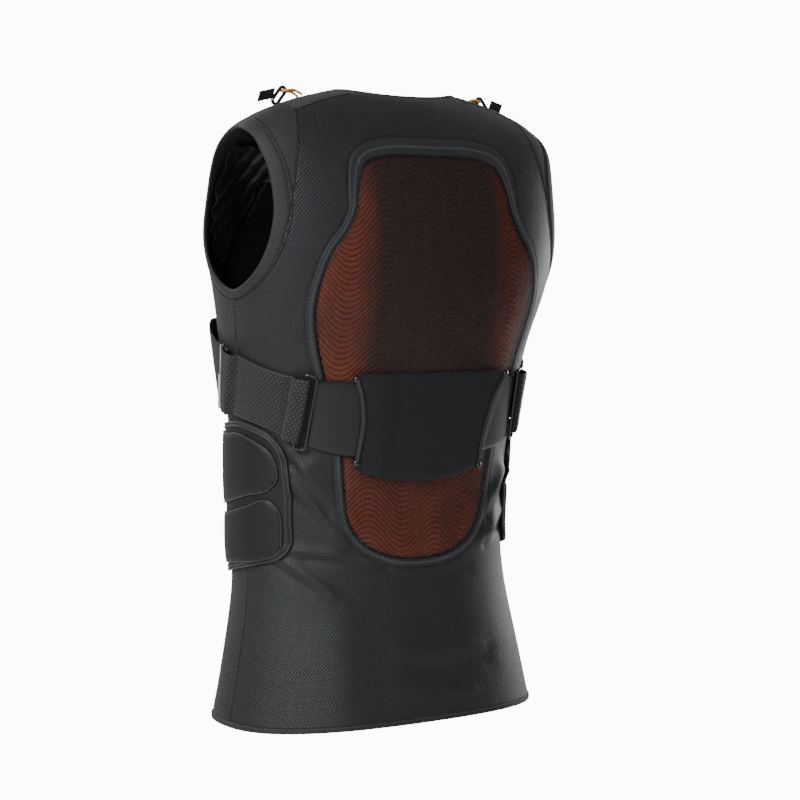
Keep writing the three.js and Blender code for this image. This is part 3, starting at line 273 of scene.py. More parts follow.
# %% Solvers
def solve_place(drop_at, drop):
    """Halves the range of places until each has the drop asked for."""
    low = np.zeros(np.shape(drop))
    high = np.full(np.shape(drop), float(LAST_SECTION))
    for _ in range(26):
        middle = (low + high) / 2
        above = drop_at(middle) < drop
        low, high = np.where(above, middle, low), np.where(above, high, middle)
    return (low + high) / 2


def level(around, drop):
    """The spot at an angle and a drop."""
    around, drop = np.broadcast_arrays(np.asarray(around, float), np.asarray(drop, float))
    place = solve_place(lambda at: -smooth_form(at, around)[..., 2], drop)
    return on_form(place, around)


def facing(side, x, drop):
    """The spot of the back (side 1) or front (side -1) behind a point seen from there."""
    x, drop = np.broadcast_arrays(np.asarray(x, float), np.asarray(drop, float))

    def cosine_at(section):
        return np.clip(np.abs(x) / section[3], 0, 1) ** (section[7] / 2)

    def drop_at(place):
        section = section_at(place)
        end = section[0] if side > 0 else section[2]
        return section[1] + (end - section[1]) * (1 - cosine_at(section) ** 2)

    place = solve_place(drop_at, drop)
    cosine = cosine_at(section_at(place)) * np.where(x < 0, -1, 1)
    around = np.arctan2(side * np.sqrt(np.clip(1 - cosine**2, 0, 1)), cosine)
    return on_form(place, around)


def beside(y, drop):
    """The spot of the wearer's left side behind a point seen from there."""
    y, drop = np.broadcast_arrays(np.asarray(y, float), np.asarray(drop, float))

    def sine_at(section):
        reach = np.where(y >= section[5], section[4], -section[6]) - section[5]
        return np.clip((y - section[5]) / reach, 0, 1) ** (section[7] / 2)

    def drop_at(place):
        section = section_at(place)
        end = np.where(y >= section[5], section[0], section[2])
        return section[1] + (end - section[1]) * sine_at(section) ** 2

    place = solve_place(drop_at, drop)
    section = section_at(place)
    sine = sine_at(section) * np.where(y >= section[5], 1, -1)
    return on_form(place, np.arcsin(np.clip(sine, -1, 1)))


print("a spot at the waist:", np.round(facing(1, 0.08, 0.34)[0], 4))

# %% [markdown]
# ## Turning spots into meshes
# A piece of cloth is a grid of spots. It becomes a closed shell: an outer face, an inner face
# and a wall along every open edge. Its UV map is in metres along the cloth, so that a knit or
# a rib keeps its real size. Pieces that come in pairs are made once and mirrored.

# %% Mesh helpers
def grid_faces(rows, columns, ring=False):
    """Four-sided faces of a grid of spots, closed from its last column to its first if asked."""
    steps = columns if ring else columns - 1
    r, c = np.meshgrid(np.arange(rows - 1), np.arange(steps), indexing="ij")
    a, b = r * columns + c, r * columns + (c + 1) % columns
    return np.stack([a, a + columns, b + columns, b], -1).reshape(-1, 4)


def kept_faces(faces, inside, slack=0.3 * MM):
    """The faces whose corners all lie inside, and the inner triangle of those that lose one.

    Inside is a distance for each spot. A triangle is given as four corners, the last doubled.
    """
    held = inside[faces] >= -slack
    whole = faces[held.sum(1) == 4]
    cut = held.sum(1) == 3
    triangles = faces[cut][held[cut]].reshape(-1, 3)
    return np.vstack([whole, np.hstack([triangles, triangles[:, 2:]])])


def shell(points, normals, faces, inner, outer):
    """A closed shell between two heights over the form."""
    count = len(points)
    inner, outer = np.broadcast_to(inner, count), np.broadcast_to(outer, count)
    both = np.vstack([points + normals * outer[:, None], points + normals * inner[:, None]])
    edges = np.vstack([faces[:, [k, (k + 1) % 4]] for k in range(4)])
    edges = edges[edges[:, 0] != edges[:, 1]]
    there = edges[:, 0].astype(np.int64) * count + edges[:, 1]
    back = edges[:, 1].astype(np.int64) * count + edges[:, 0]
    rim = edges[~np.isin(there, back)]
    walls = np.stack([rim[:, 1], rim[:, 0], rim[:, 0] + count, rim[:, 1] + count], -1)
    face_lists = [face[:3] if face[2] == face[3] else face for face in faces.tolist()]
    inner_lists = [[corner + count for corner in reversed(face)] for face in face_lists]
    return both, [*face_lists, *inner_lists, *walls.tolist()]


def add_piece(name, points, faces, uv, material, slot, nodes=()):
    """A mesh object that rides on the vest, with its normals turned out and its UV map."""
    mesh = bpy.data.meshes.new(name)
    mesh.from_pydata(np.asarray(points).tolist(), [], faces)
    layer = mesh.uv_layers.new(name="cloth")
    corner = np.zeros(len(mesh.loops), np.int32)
    mesh.loops.foreach_get("vertex_index", corner)
    layer.data.foreach_set("uv", np.asarray(uv, np.float32)[corner].ravel())
    work = bmesh.new()
    work.from_mesh(mesh)
    loose = [vertex for vertex in work.verts if not vertex.link_faces]
    bmesh.ops.delete(work, geom=loose, context="VERTS")
    bmesh.ops.recalc_face_normals(work, faces=work.faces)
    work.to_mesh(mesh)
    work.free()
    mesh.polygons.foreach_set("use_smooth", [True] * len(mesh.polygons))
    piece = bpy.data.objects.new(name, mesh)
    bpy.context.scene.collection.objects.link(piece)
    mesh.materials.append(material)
    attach(piece, "root")
    if nodes:
        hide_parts(*nodes)
    print(name, "has", len(mesh.polygons), "faces")
    return piece


MIRROR = np.array([-1, 1, 1])


def add_pair(name, points, faces, uv, material, slot, node_name=None):
    """The wearer's left piece and its mirror image on the right."""
    flipped = [list(reversed(face)) for face in faces]
    pieces = []
    for side, shape, order in (("left", points, faces), ("right", points * MIRROR, flipped)):
        nodes = (f"{node_name}_{side}",) if node_name else ()
        pieces.append(add_piece(f"{name}_{side}", shape, order, uv, material, slot, nodes))
    return pieces


def ease(share):
    """A share from nought to one that starts and ends softly."""
    return share * share * (3 - 2 * share)


def grid_uv(points):
    """Metres along a grid of spots: across from its first column, down from its first row."""
    across = np.linalg.norm(np.diff(points, axis=1), axis=-1).mean(0)
    down = np.linalg.norm(np.diff(points, axis=0), axis=-1).mean(1)
    u = np.concatenate([[0], np.cumsum(across)])
    v = np.concatenate([[0], np.cumsum(down)])
    return np.stack(np.meshgrid(u, v), -1).reshape(-1, 2)


print("a grid of 3 by 4 spots has", len(grid_faces(3, 4)), "faces")

# %% [markdown]
# ### Drawing an outline
# Many pieces start as a flat outline, as a pattern cutter draws them. A smooth spline through
# a few corners gives the outline, and a margin sets it outwards or inwards for a seam. The
# signed distance from it tells, for any point, which side it lies on and how far away.

# %% Outlines
def smooth_loop(corners, count):
    """A closed centripetal spline through a few corners, as evenly spaced points."""
    p = np.asarray(corners, float)
    a, b, c, d = np.roll(p, 1, 0), p, np.roll(p, -1, 0), np.roll(p, -2, 0)
    ab, bc, cd = (
        np.linalg.norm(q - r, axis=1)[:, None] ** 0.5 for q, r in ((b, a), (c, b), (d, c))
    )
    start = ((b - a) / ab - (c - a) / (ab + bc) + (c - b) / bc) * bc
    end = ((c - b) / bc - (d - b) / (bc + cd) + (d - c) / cd) * bc
    t = np.linspace(0, 1, 24, endpoint=False)[:, None, None]
    line = (
        (2 * t**3 - 3 * t**2 + 1) * b
        + (t**3 - 2 * t**2 + t) * start
        + (3 * t**2 - 2 * t**3) * c
        + (t**3 - t**2) * end
    )
    return even(np.swapaxes(line, 0, 1).reshape(-1, 2), count, closed=True)


def even(line, count, closed=False):
    """A line's points spread evenly along it."""
    if closed:
        line = np.vstack([line, line[:1]])
    length = np.concatenate([[0], np.cumsum(np.linalg.norm(np.diff(line, axis=0), axis=1))])
    at = np.linspace(0, length[-1], count, endpoint=not closed)
    return np.stack([np.interp(at, length, line[:, k]) for k in range(line.shape[1])], -1)


def grown(loop, margin):
    """A loop set outwards by a margin, which may be a number or one for each point."""
    along = np.roll(loop, -1, 0) - np.roll(loop, 1, 0)
    along /= np.linalg.norm(along, axis=1, keepdims=True)
    area = np.sum(loop[:, 0] * np.roll(loop[:, 1], -1) - loop[:, 1] * np.roll(loop[:, 0], -1))
    out = np.stack([along[:, 1], -along[:, 0]], -1) * np.sign(area)
    return loop + out * np.broadcast_to(margin, len(loop))[:, None]


def mirrored_outline(half):
    """A whole outline from its half on the wearer's left."""
    half = np.asarray(half, float)
    return np.vstack([half, half[-2:0:-1] * [-1, 1]])


NEARLY_NOUGHT = 1e-18


def signed_distance(points, loop):
    """Distance of flat points from a closed loop, negative inside, and the way to the loop."""
    a, b = loop, np.roll(loop, -1, 0)
    best = np.full(len(points), np.inf)
    away = np.zeros_like(points)
    inside = np.zeros(len(points), bool)
    for start, end in zip(a, b):
        line = end - start
        share = np.clip(((points - start) @ line) / max(line @ line, NEARLY_NOUGHT), 0, 1)
        gap = points - start - share[:, None] * line
        size = np.einsum("ij,ij->i", gap, gap)
        closer = size < best
        best[closer], away[closer] = size[closer], gap[closer]
        crosses = (start[1] > points[:, 1]) != (end[1] > points[:, 1])
        rise = (points[:, 1] - start[1]) / (line[1] if line[1] else NEARLY_NOUGHT)
        inside ^= crosses & (points[:, 0] < start[0] + rise * line[0])
    distance = np.sqrt(best)
    return np.where(inside, -distance, distance), away


square = np.array([[0, 0], [1, 0], [1, 1], [0, 1.0]])
print("from the middle of a square to its edge:", signed_distance(square[:1] + 0.5, square)[0])

# %% [markdown]
# ## Materials
# Cloth is mostly its surface: a knit has holes, a webbing has ribs, a satin has gloss. Each
# material mixes two tones with a pattern that follows the piece's own UV map, breaks it up
# with a little noise, and raises it with a bump. Numbers that are the same all over are set on
# the shader itself.

# %% Material helpers
def new_material(name, roughness, sheen=0.0, coat=0.0, specular=0.5):
    """A material with its tree and shader."""
    material = bpy.data.materials.new(name)
    material.use_nodes = True
    tree = material.node_tree
    shader = tree.nodes["Principled BSDF"]
    shader.inputs["Roughness"].default_value = roughness
    shader.inputs["Sheen Weight"].default_value = sheen
    shader.inputs["Sheen Roughness"].default_value = 0.45
    shader.inputs["Coat Weight"].default_value = coat
    shader.inputs["Coat Roughness"].default_value = 0.15
    shader.inputs["Specular IOR Level"].default_value = specular
    return material, tree, shader


def node(tree, kind, inputs=(), **settings):
    """A node with its settings and its inputs, which are values or other sockets."""
    made = tree.nodes.new(kind)
    for key, value in settings.items():
        setattr(made, key, value)
    for key, value in dict(inputs).items():
        if isinstance(value, bpy.types.NodeSocket):
            tree.links.new(value, made.inputs[key])
        else:
            made.inputs[key].default_value = value
    return made


def calc(tree, operation, *values):
    """A maths node's result."""
    made = node(tree, "ShaderNodeMath", dict(enumerate(values)), operation=operation)
    return made.outputs[0]


def spread(tree, value, low, high, to_low=0.0, to_high=1.0):
    """A value moved from one range to another, held at its ends."""
    inputs = {
        "Value": value, "From Min": low, "From Max": high, "To Min": to_low, "To Max": to_high,
    }
    return node(tree, "ShaderNodeMapRange", inputs).outputs["Result"]


MIX_FIRST, MIX_SECOND, MIX_RESULT = 6, 7, 2


def blend_colours(tree, factor, first, second):
    """A colour between two. A Mix node has its colour sockets at the numbers above."""
    made = node(tree, "ShaderNodeMix", {"Factor": factor}, data_type="RGBA")
    for socket, colour in ((MIX_FIRST, first), (MIX_SECOND, second)):
        if isinstance(colour, bpy.types.NodeSocket):
            tree.links.new(colour, made.inputs[socket])
        else:
            made.inputs[socket].default_value = (*colour, 1)
    return made.outputs[MIX_RESULT]


def coordinates(tree, kind, scale, turn=0.0):
    """UV or Object coordinates, scaled and turned."""
    source = node(tree, "ShaderNodeTexCoord").outputs[kind]
    mapping = node(tree, "ShaderNodeMapping", {"Vector": source})
    mapping.inputs["Scale"].default_value = (scale, scale, scale) if np.isscalar(scale) else scale
    mapping.inputs["Rotation"].default_value = (0, 0, turn)
    return mapping.outputs["Vector"]


def noise(tree, scale, detail):
    """Soft noise over the whole object."""
    inputs = {"Vector": coordinates(tree, "Object", 1.0), "Scale": scale, "Detail": detail}
    return node(tree, "ShaderNodeTexNoise", inputs).outputs["Fac"]


def relief_from(tree, shader, height, strength, distance):
    """Gives a shader a bump."""
    inputs = {"Height": height, "Strength": strength, "Distance": distance}
    bump = node(tree, "ShaderNodeBump", inputs)
    tree.links.new(bump.outputs["Normal"], shader.inputs["Normal"])


def scaled_colour(tree, colour, factor):
    """A colour made lighter or darker."""
    scaled = node(tree, "ShaderNodeVectorMath", {0: colour}, operation="SCALE")
    tree.links.new(factor, scaled.inputs["Scale"])
    return scaled.outputs[0]


# %% Patterns of cloth
def lattice(tree, pitch, turn):
    """Distance from the nearest of a square lattice of points."""
    vector = coordinates(tree, "UV", 1 / pitch, turn)
    inputs = {"Vector": vector, "Scale": 1.0, "Randomness": 0.0}
    return node(tree, "ShaderNodeTexVoronoi", inputs, voronoi_dimensions="2D").outputs["Distance"]


WAVE_SCALE = 0.3141593


def waves(tree, pitch, direction):
    """Parallel ribs across the piece's UV map. At scale 1 a rib is a tenth of pi wide."""
    vector = coordinates(tree, "UV", 1 / pitch)
    inputs = {"Vector": vector, "Scale": WAVE_SCALE, "Detail": 0.0}
    return node(
        tree, "ShaderNodeTexWave", inputs, wave_type="BANDS", bands_direction=direction
    ).outputs["Fac"]


def dotted(pitch, turn=math.radians(45), low=0.18, high=0.52):
    """A knit with round holes in a diagonal lattice."""
    return lambda tree: spread(tree, lattice(tree, pitch, turn), low, high)


def plain(tree):
    """A close cloth whose threads are too fine to see: only a soft grain."""
    return noise(tree, 900.0, 1.0)


def webbing(pitch_across, pitch_along):
    """Webbing: rows of small bars, staggered like bricks."""
    def pattern(tree):
        inputs = {
            "Vector": coordinates(tree, "UV", (1 / pitch_along, 1 / pitch_across, 1)),
            "Scale": 1.0, "Mortar Size": 0.2, "Mortar Smooth": 0.5, "Brick Width": 1.0,
            "Row Height": 1.0,
        }
        brick = node(tree, "ShaderNodeTexBrick", inputs)
        return calc(tree, "SUBTRACT", 1.0, brick.outputs["Fac"])
    return pattern


def ribbed(pitch, direction):
    """Parallel ribs."""
    return lambda tree: waves(tree, pitch, direction)


# %% [markdown]
# ### A recipe for cloth
# All the cloths share one recipe and differ in their numbers: the tone of the hollows, the tone
# of the threads, the pattern and how far it stands up. A fine grain keeps them from looking
# printed, and a slow cloud of light and dark keeps a large panel from looking even.

# %% The recipe for cloth
def cloth_material(name, low, high, pattern, relief, roughness, sheen, coat=0.0):
    """Cloth of two tones in a pattern. Low is the tone of the hollows, high of the threads."""
    material, tree, shader = new_material(name, roughness, sheen, coat)
    height = pattern(tree)
    grain = noise(tree, 1400.0, 2.0)
    cloud = noise(tree, 14.0, 3.0)
    tone = calc(tree, "MULTIPLY_ADD", grain, 0.30, calc(tree, "MULTIPLY", height, 0.85))
    shade = spread(tree, cloud, 0.3, 0.7, 0.86, 1.12)
    colour = scaled_colour(tree, blend_colours(tree, tone, low, high), shade)
    tree.links.new(colour, shader.inputs["Base Color"])
    rough = spread(tree, height, 0.0, 1.0, min(roughness + 0.08, 1), roughness - 0.06)
    tree.links.new(rough, shader.inputs["Roughness"])
    raised = calc(tree, "MULTIPLY_ADD", grain, 0.25, height)
    relief_from(tree, shader, raised, 0.6, relief)
    return material


# %% The vest's cloths
body_mesh = cloth_material(
    "body_mesh_knit", (0.003, 0.0033, 0.0037), (0.018, 0.020, 0.023), dotted(3.0 * MM), 0.5 * MM,
    roughness=0.50, sheen=0.10,
)
smooth_cloth = cloth_material(
    "smooth_stretch_cloth", (0.012, 0.0125, 0.013), (0.022, 0.023, 0.024), plain, 0.12 * MM,
    roughness=0.70, sheen=0.10,
)
binding_cloth = cloth_material(
    "binding_tape", (0.008, 0.008, 0.009), (0.024, 0.025, 0.026), dotted(1.3 * MM), 0.25 * MM,
    roughness=0.68, sheen=0.10,
)
border_cloth = cloth_material(
    "pocket_border_tape", (0.008, 0.009, 0.010), (0.022, 0.025, 0.028), dotted(1.4 * MM),
    0.2 * MM, roughness=0.6, sheen=0.10,
)
ruched_cloth = cloth_material(
    "ruched_grip_cloth", (0.010, 0.0105, 0.011), (0.045, 0.047, 0.050), dotted(2.0 * MM),
    0.4 * MM, roughness=0.6, sheen=0.12,
)
tunnel_cloth = cloth_material(
    "tunnel_cloth", (0.0028, 0.0036, 0.0048), (0.006, 0.0072, 0.0092), ribbed(1.8 * MM, "X"),
    0.08 * MM, roughness=0.6, sheen=0.03,
)
wing_cloth = cloth_material(
    "coated_wing_cloth", (0.006, 0.0061, 0.0063), (0.010, 0.0102, 0.0105), plain, 0.05 * MM,
    roughness=0.42, sheen=0.02, coat=0.25,
)
elastic_cloth = cloth_material(
    "elastic_webbing", (0.0015, 0.0015, 0.0018), (0.036, 0.037, 0.039), webbing(3.2 * MM, 4.4 * MM),
    0.9 * MM, roughness=0.7, sheen=0.12,
)
strap_cloth = cloth_material(
    "front_strap_webbing", (0.0015, 0.0015, 0.0018), (0.024, 0.025, 0.027),
    webbing(2.4 * MM, 3.4 * MM), 0.7 * MM, roughness=0.7, sheen=0.10,
)
neoprene = cloth_material(
    "neoprene_knit", (0.0035, 0.0035, 0.0038), (0.0075, 0.0078, 0.0083), plain, 0.08 * MM,
    roughness=0.58, sheen=0.08,
)
# Partly painted highlight: this piping is a real raised tube, but its pale grey also stands in for
# the glint of light along the rims of the side pads' lobes.
piping_and_edge_highlight_cloth = cloth_material(
    "soft_piping_and_edge_highlight", (0.018, 0.0185, 0.019), (0.055, 0.057, 0.060), plain, 0.08 * MM,
    roughness=0.5, sheen=0.15,
)
thread = cloth_material(
    "grey_thread", (0.030, 0.031, 0.032), (0.11, 0.115, 0.12), plain, 0.05 * MM,
    roughness=0.5, sheen=0.2,
)
dark_thread = cloth_material(
    "black_thread", (0.001, 0.001, 0.001), (0.004, 0.004, 0.004), plain, 0.05 * MM,
    roughness=0.7, sheen=0.0,
)
orange_cord = cloth_material(
    "orange_cord_knit", (0.62, 0.20, 0.02), (0.95, 0.42, 0.06), dotted(1.0 * MM), 0.15 * MM,
    roughness=0.55, sheen=0.2,
)
print(len(bpy.data.materials), "materials so far")

# %% [markdown]
# ### The orange foam and the sheer window
# The protector is orange foam. A second, sheer dark net lies over it, so what the eye sees is
# orange through a dark veil. Painted shade in the foam's colour makes it brightest near the
# rim: two soft-edged fields in object coordinates darken its middle towards brown, and the net
# is partly see-through, a little more in its holes than at its threads.

# %% Foam and window materials
RIB_PITCH, RIB_WAVE, RIB_SWING, RIB_HEIGHT = 5.6 * MM, 78 * MM, 14 * MM, 0.5 * MM
RIB_CREST = 61 * MM


def centred_field(tree, half_x, soft_x, low_z, high_z, soft_z):
    """One inside a soft-edged upright box of object coordinates, and nought outside it."""
    place = node(tree, "ShaderNodeTexCoord").outputs["Object"]
    split = node(tree, "ShaderNodeSeparateXYZ", {0: place})
    across = calc(tree, "ABSOLUTE", split.outputs["X"])
    side = spread(tree, across, half_x - soft_x, half_x + soft_x, 1.0, 0.0)
    bottom = spread(tree, split.outputs["Z"], low_z - soft_z, low_z + soft_z)
    top = spread(tree, split.outputs["Z"], high_z - soft_z, high_z + soft_z, 1.0, 0.0)
    return calc(tree, "MULTIPLY", calc(tree, "MULTIPLY", side, bottom), top)


def foam_material():
    """Orange foam with painted shade: darker towards brown in its middle, and darker in the grooves
    between its ribs.
    """
    material, tree, shader = new_material("orange_foam", 0.5, coat=0.1)
    # Painted shade: these two fields darken the foam's middle towards brown and its upper middle
    # further, standing in for light that falls less there.
    painted_shade_centre = centred_field(tree, 0.080, 0.012, -0.395, -0.02, 0.030)
    upper = centred_field(tree, 0.070, 0.007, -0.300, -0.02, 0.060)
    cloud = spread(tree, noise(tree, 22.0, 3.0), 0.35, 0.65)
    orange = blend_colours(tree, cloud, (0.58, 0.082, 0.024), (0.82, 0.140, 0.036))
    shadow = calc(tree, "MULTIPLY", painted_shade_centre, 0.80)
    painted_shade_orange = blend_colours(tree, shadow, orange, (0.135, 0.036, 0.022))
    deep_shadow = calc(tree, "MULTIPLY", upper, 0.85)
    colour = blend_colours(tree, deep_shadow, painted_shade_orange, (0.075, 0.028, 0.021))
    # Painted shade: the grooves between the ribs are darkened in colour, besides their real relief.
    rib = waves(tree, RIB_PITCH, "Y")
    painted_groove_shade = spread(tree, rib, 0.0, 0.75, 0.42, 1.0)
    tree.links.new(scaled_colour(tree, colour, painted_groove_shade), shader.inputs["Base Color"])
    relief_from(tree, shader, rib, 0.7, 1.0 * MM)
    return material


def window_material():
    """A sheer net: threads that hide more and holes that hide less."""
    material, tree, shader = new_material("sheer_window_net", 0.55, sheen=0.08)
    threads = spread(tree, lattice(tree, 1.1 * MM, math.radians(45)), 0.1, 0.6)
    colour = blend_colours(tree, threads, (0.014, 0.009, 0.009), (0.024, 0.015, 0.014))
    tree.links.new(colour, shader.inputs["Base Color"])
    tree.links.new(spread(tree, threads, 0.0, 1.0, 0.31, 0.40), shader.inputs["Alpha"])
    relief_from(tree, shader, threads, 0.2, 0.1 * MM)
    return material


orange_foam = foam_material()
window_net = window_material()
print("made", orange_foam.name, "and", window_net.name)

# %% [markdown]
# ### Satin, plastic and a painted highlight
# These three shine. The satin's gloss comes from its folds, the rings have a thin clear coat
# over black, and a plain pale grey strip on a ring's bar is a painted highlight, standing in for
# the glint of light along it. Fine noise keeps each highlight from being perfect.

# %% Satin, plastic and a painted highlight
def satin_material():
    """Thin glossy lining: nearly black, with a fine grain that spreads each highlight."""
    material, tree, shader = new_material("glossy_satin", 0.4, sheen=0.1, coat=0.1, specular=0.6)
    grain = noise(tree, 500.0, 3.0)
    colour = blend_colours(tree, grain, (0.004, 0.004, 0.005), (0.012, 0.012, 0.014))
    tree.links.new(colour, shader.inputs["Base Color"])
    tree.links.new(spread(tree, grain, 0.3, 0.7, 0.36, 0.46), shader.inputs["Roughness"])
    relief_from(tree, shader, grain, 0.15, 0.1 * MM)
    return material


def plastic_material(name, colour, roughness, coat):
    """Moulded plastic with faint mould marks and finger-worn gloss."""
    material, tree, shader = new_material(name, roughness, coat=coat)
    tone = noise(tree, 160.0, 4.0)
    light = tuple(1.9 * channel for channel in colour)
    tree.links.new(blend_colours(tree, tone, colour, light), shader.inputs["Base Color"])
    rough = spread(tree, tone, 0.3, 0.7, roughness - 0.06, roughness + 0.1)
    tree.links.new(rough, shader.inputs["Roughness"])
    relief_from(tree, shader, tone, 0.1, 0.05 * MM)
    return material


satin = satin_material()
black_plastic = plastic_material("glossy_black_plastic", (0.006, 0.006, 0.007), 0.22, 0.5)
# Painted highlight: a pale grey that stands in for the glint of light on the side ring's front bar.
painted_highlight_plastic = plastic_material("pale_painted_highlight", (0.42, 0.43, 0.44), 0.35, 0.2)
print(len(bpy.data.materials), "materials in all")

# %% [markdown]
# ## The body cloth
# The whole body is one fine grid over the form. Pattern lines divide it into the back, the
# front, two shoulder panels and two yokes, and cut out the armholes and the pocket. Where a
# line passes between two grid points, the nearer one is moved onto it, which gives each panel
# a smooth edge without cutting any face.

# %% Pattern lines
ARMHOLE_MIDDLE_Y, ARMHOLE_HALF_DEPTH = 0.026, 0.066
ARMHOLE_TOP, ARMHOLE_HEIGHT = 0.050, 0.159
ARMHOLE_BAND = 9 * MM
armhole_corners = np.array([
    [0.15, 0.0], [0.55, 0.06], [0.80, 0.20], [0.93, 0.37], [0.98, 0.56], [0.90, 0.73],
    [0.70, 0.87], [0.40, 0.965], [0.08, 1.0], [-0.28, 0.95], [-0.62, 0.84], [-0.88, 0.66],
    [-0.98, 0.45], [-0.86, 0.24], [-0.55, 0.09], [-0.20, 0.015],
]) * [ARMHOLE_HALF_DEPTH, ARMHOLE_HEIGHT] + [ARMHOLE_MIDDLE_Y, ARMHOLE_TOP]
armhole_line = smooth_loop(armhole_corners, 180)

PAD_TOP, PAD_LENGTH, PAD_HALF_WIDTH = 0.078, 0.402, 0.129
pad_half = np.array([
    [0.0, 0.0], [0.42, 0.003], [0.60, 0.022], [0.68, 0.08], [0.72, 0.135], [0.80, 0.185],
    [0.91, 0.235], [0.98, 0.30], [1.0, 0.37], [0.96, 0.44], [0.88, 0.53], [0.78, 0.63],
    [0.70, 0.72], [0.66, 0.82], [0.62, 0.90], [0.50, 0.955], [0.28, 0.99], [0.0, 1.0],
]) * [PAD_HALF_WIDTH, PAD_LENGTH] + [0, PAD_TOP]
pad_line = smooth_loop(mirrored_outline(pad_half), 300)


def border_width(loop):
    """The pocket's border: narrow at the sides, deeper along the top."""
    share = np.clip((loop[:, 1] - PAD_TOP) / 0.060, 0, 1)
    return 8 * MM + 9 * MM * (1 - ease(share))


SEAM_STEP = 0.3 * MM
border_inner = grown(pad_line, 1 * MM + SEAM_STEP)
border_outer = grown(pad_line, 1 * MM + SEAM_STEP + border_width(pad_line))
pocket_line = grown(pad_line, 1 * MM + border_width(pad_line) - 1.5 * MM)

shoulder_seam = np.array([
    [0.62, -0.10], [0.65, 0.02], [0.67, 0.05], [0.70, 0.071], [0.74, 0.115], [0.77, 0.16],
    [0.805, 0.211], [0.86, 0.27],
]) * [CHEST_HALF_WIDTH, VEST_DROP]
SHOULDER_END = shoulder_seam[-1, 1]
YOKE_DEEPEST = -0.065
YOKE_BACK, YOKE_FRONT, YOKE_SLANT = 60 * MM, -2 * MM, 12 / 156


def yoke_lines(x):
    """The yoke's back and front edges, which slant a little."""
    slant = (np.abs(x) - 20 * MM) * YOKE_SLANT
    return YOKE_BACK + slant, YOKE_FRONT + slant


print("the protector's outline has", len(pad_line), "points, the armhole's", len(armhole_line))

# %% [markdown]
# ### The grid
# One grid covers the whole form, with a column at each side seam. Its UV map counts metres
# along the cloth, down the rows and round the body, and every panel cut from it keeps that map,
# so the knit runs on from panel to panel.

# %% The grid of the body
SEAM_ANGLE = math.radians(2)
HEM_SPAN = VEST_DROP * 0.086
NECK_EDGE, HEM_EDGE = 0.28, LAST_SECTION - 4 * MM / HEM_SPAN
BODY_COLUMNS, BODY_ROWS = 372, 250
turns = SEAM_ANGLE + np.linspace(0, 2 * math.pi, BODY_COLUMNS, endpoint=False)
turns[BODY_COLUMNS // 2] = math.pi - SEAM_ANGLE
body_place, body_around = np.meshgrid(
    np.linspace(NECK_EDGE, HEM_EDGE, BODY_ROWS), turns, indexing="ij"
)
body_points, body_normals = on_form(body_place, body_around)
UNROLLED_RADIUS = 0.165
row_length = np.linalg.norm(np.diff(body_points, axis=0), axis=-1).mean(1)
body_v = np.concatenate([[0], np.cumsum(row_length)])[:, None] + 0 * body_around
body_uv = np.stack([body_around * UNROLLED_RADIUS, body_v], -1).reshape(-1, 2)
body_points = body_points.reshape(-1, 3)
body_normals = body_normals.reshape(-1, 3)
body_faces = grid_faces(BODY_ROWS, BODY_COLUMNS, ring=True)
print("body grid:", len(body_points), "spots")

# %% [markdown]
# ### Cutting the grid
# For each spot of the grid, each pattern line gives a distance, positive on the body's side,
# and the way in which it grows. A spot that is closer than half a cell slides along the cloth
# onto the line. Then the sign of the distances says which panel a face belongs to. The shoulder
# panel ends at a level row, and the panel below it takes that row too, so no slit is left.

# %% Which side of each line a point lies on
def lines_at(points):
    """Signed distance from each pattern line, positive on the body's side, and its slope."""
    x, y, drop = np.abs(points[:, 0]), points[:, 1], -points[:, 2]
    sign = np.sign(points[:, 0])
    found = {}

    def keep(name, there, value, slope):
        full, slopes = np.full(len(points), 1.0), np.zeros_like(points)
        full[there], slopes[there] = value, slope
        found[name] = (full, slopes)

    def from_loop(flat, loop):
        value, away = signed_distance(flat, loop)
        return value, away / np.maximum(np.abs(value), 1e-9)[:, None] * np.sign(value)[:, None]

    there = np.flatnonzero((x > 0.10) & (drop < 0.26))
    value, way = from_loop(np.stack([y, drop], -1)[there], armhole_outer)
    keep("armhole", there, value, np.stack([0 * value, way[:, 0], -way[:, 1]], -1))

    there = np.flatnonzero((x < 0.17) & (y > 0) & (drop < 0.52))
    value, way = from_loop(np.stack([points[:, 0], drop], -1)[there], pocket_line)
    keep("pocket", there, value, np.stack([way[:, 0], 0 * value, -way[:, 1]], -1))

    there = np.flatnonzero(drop < SHOULDER_END)
    seam_x = np.interp(drop[there], shoulder_seam[:, 1], shoulder_seam[:, 0])
    value = seam_x - x[there]
    keep("shoulder", there, value, np.stack([-sign[there], 0 * value, 0 * value], -1))

    there = np.flatnonzero(drop < -YOKE_DEEPEST)
    back, front = yoke_lines(x[there])
    for name, value, way in (
        ("yoke_back", y[there] - back, 1), ("yoke_front", front - y[there], -1),
    ):
        keep(name, there, value, np.stack([0 * value, way + 0 * value, 0 * value], -1))
    return found


armhole_outer = grown(armhole_line, ARMHOLE_BAND - 1.5 * MM)
CELL = 2.8 * MM


# %% Moving spots onto the lines
for line_name in ("shoulder", "yoke_back", "yoke_front", "armhole", "pocket"):
    value, slope = lines_at(body_points)[line_name]
    flat_slope = slope - body_normals * np.sum(slope * body_normals, -1, keepdims=True)
    size = np.sum(flat_slope**2, -1)
    near = (np.abs(value) < 0.5 * CELL) & (size > 0.3)
    if line_name.startswith("yoke"):
        near &= lines_at(body_points)["shoulder"][0] > -0.2 * CELL
    body_points[near] -= (value[near] / size[near])[:, None] * flat_slope[near]
    print(line_name, "line:", near.sum(), "spots moved onto it")

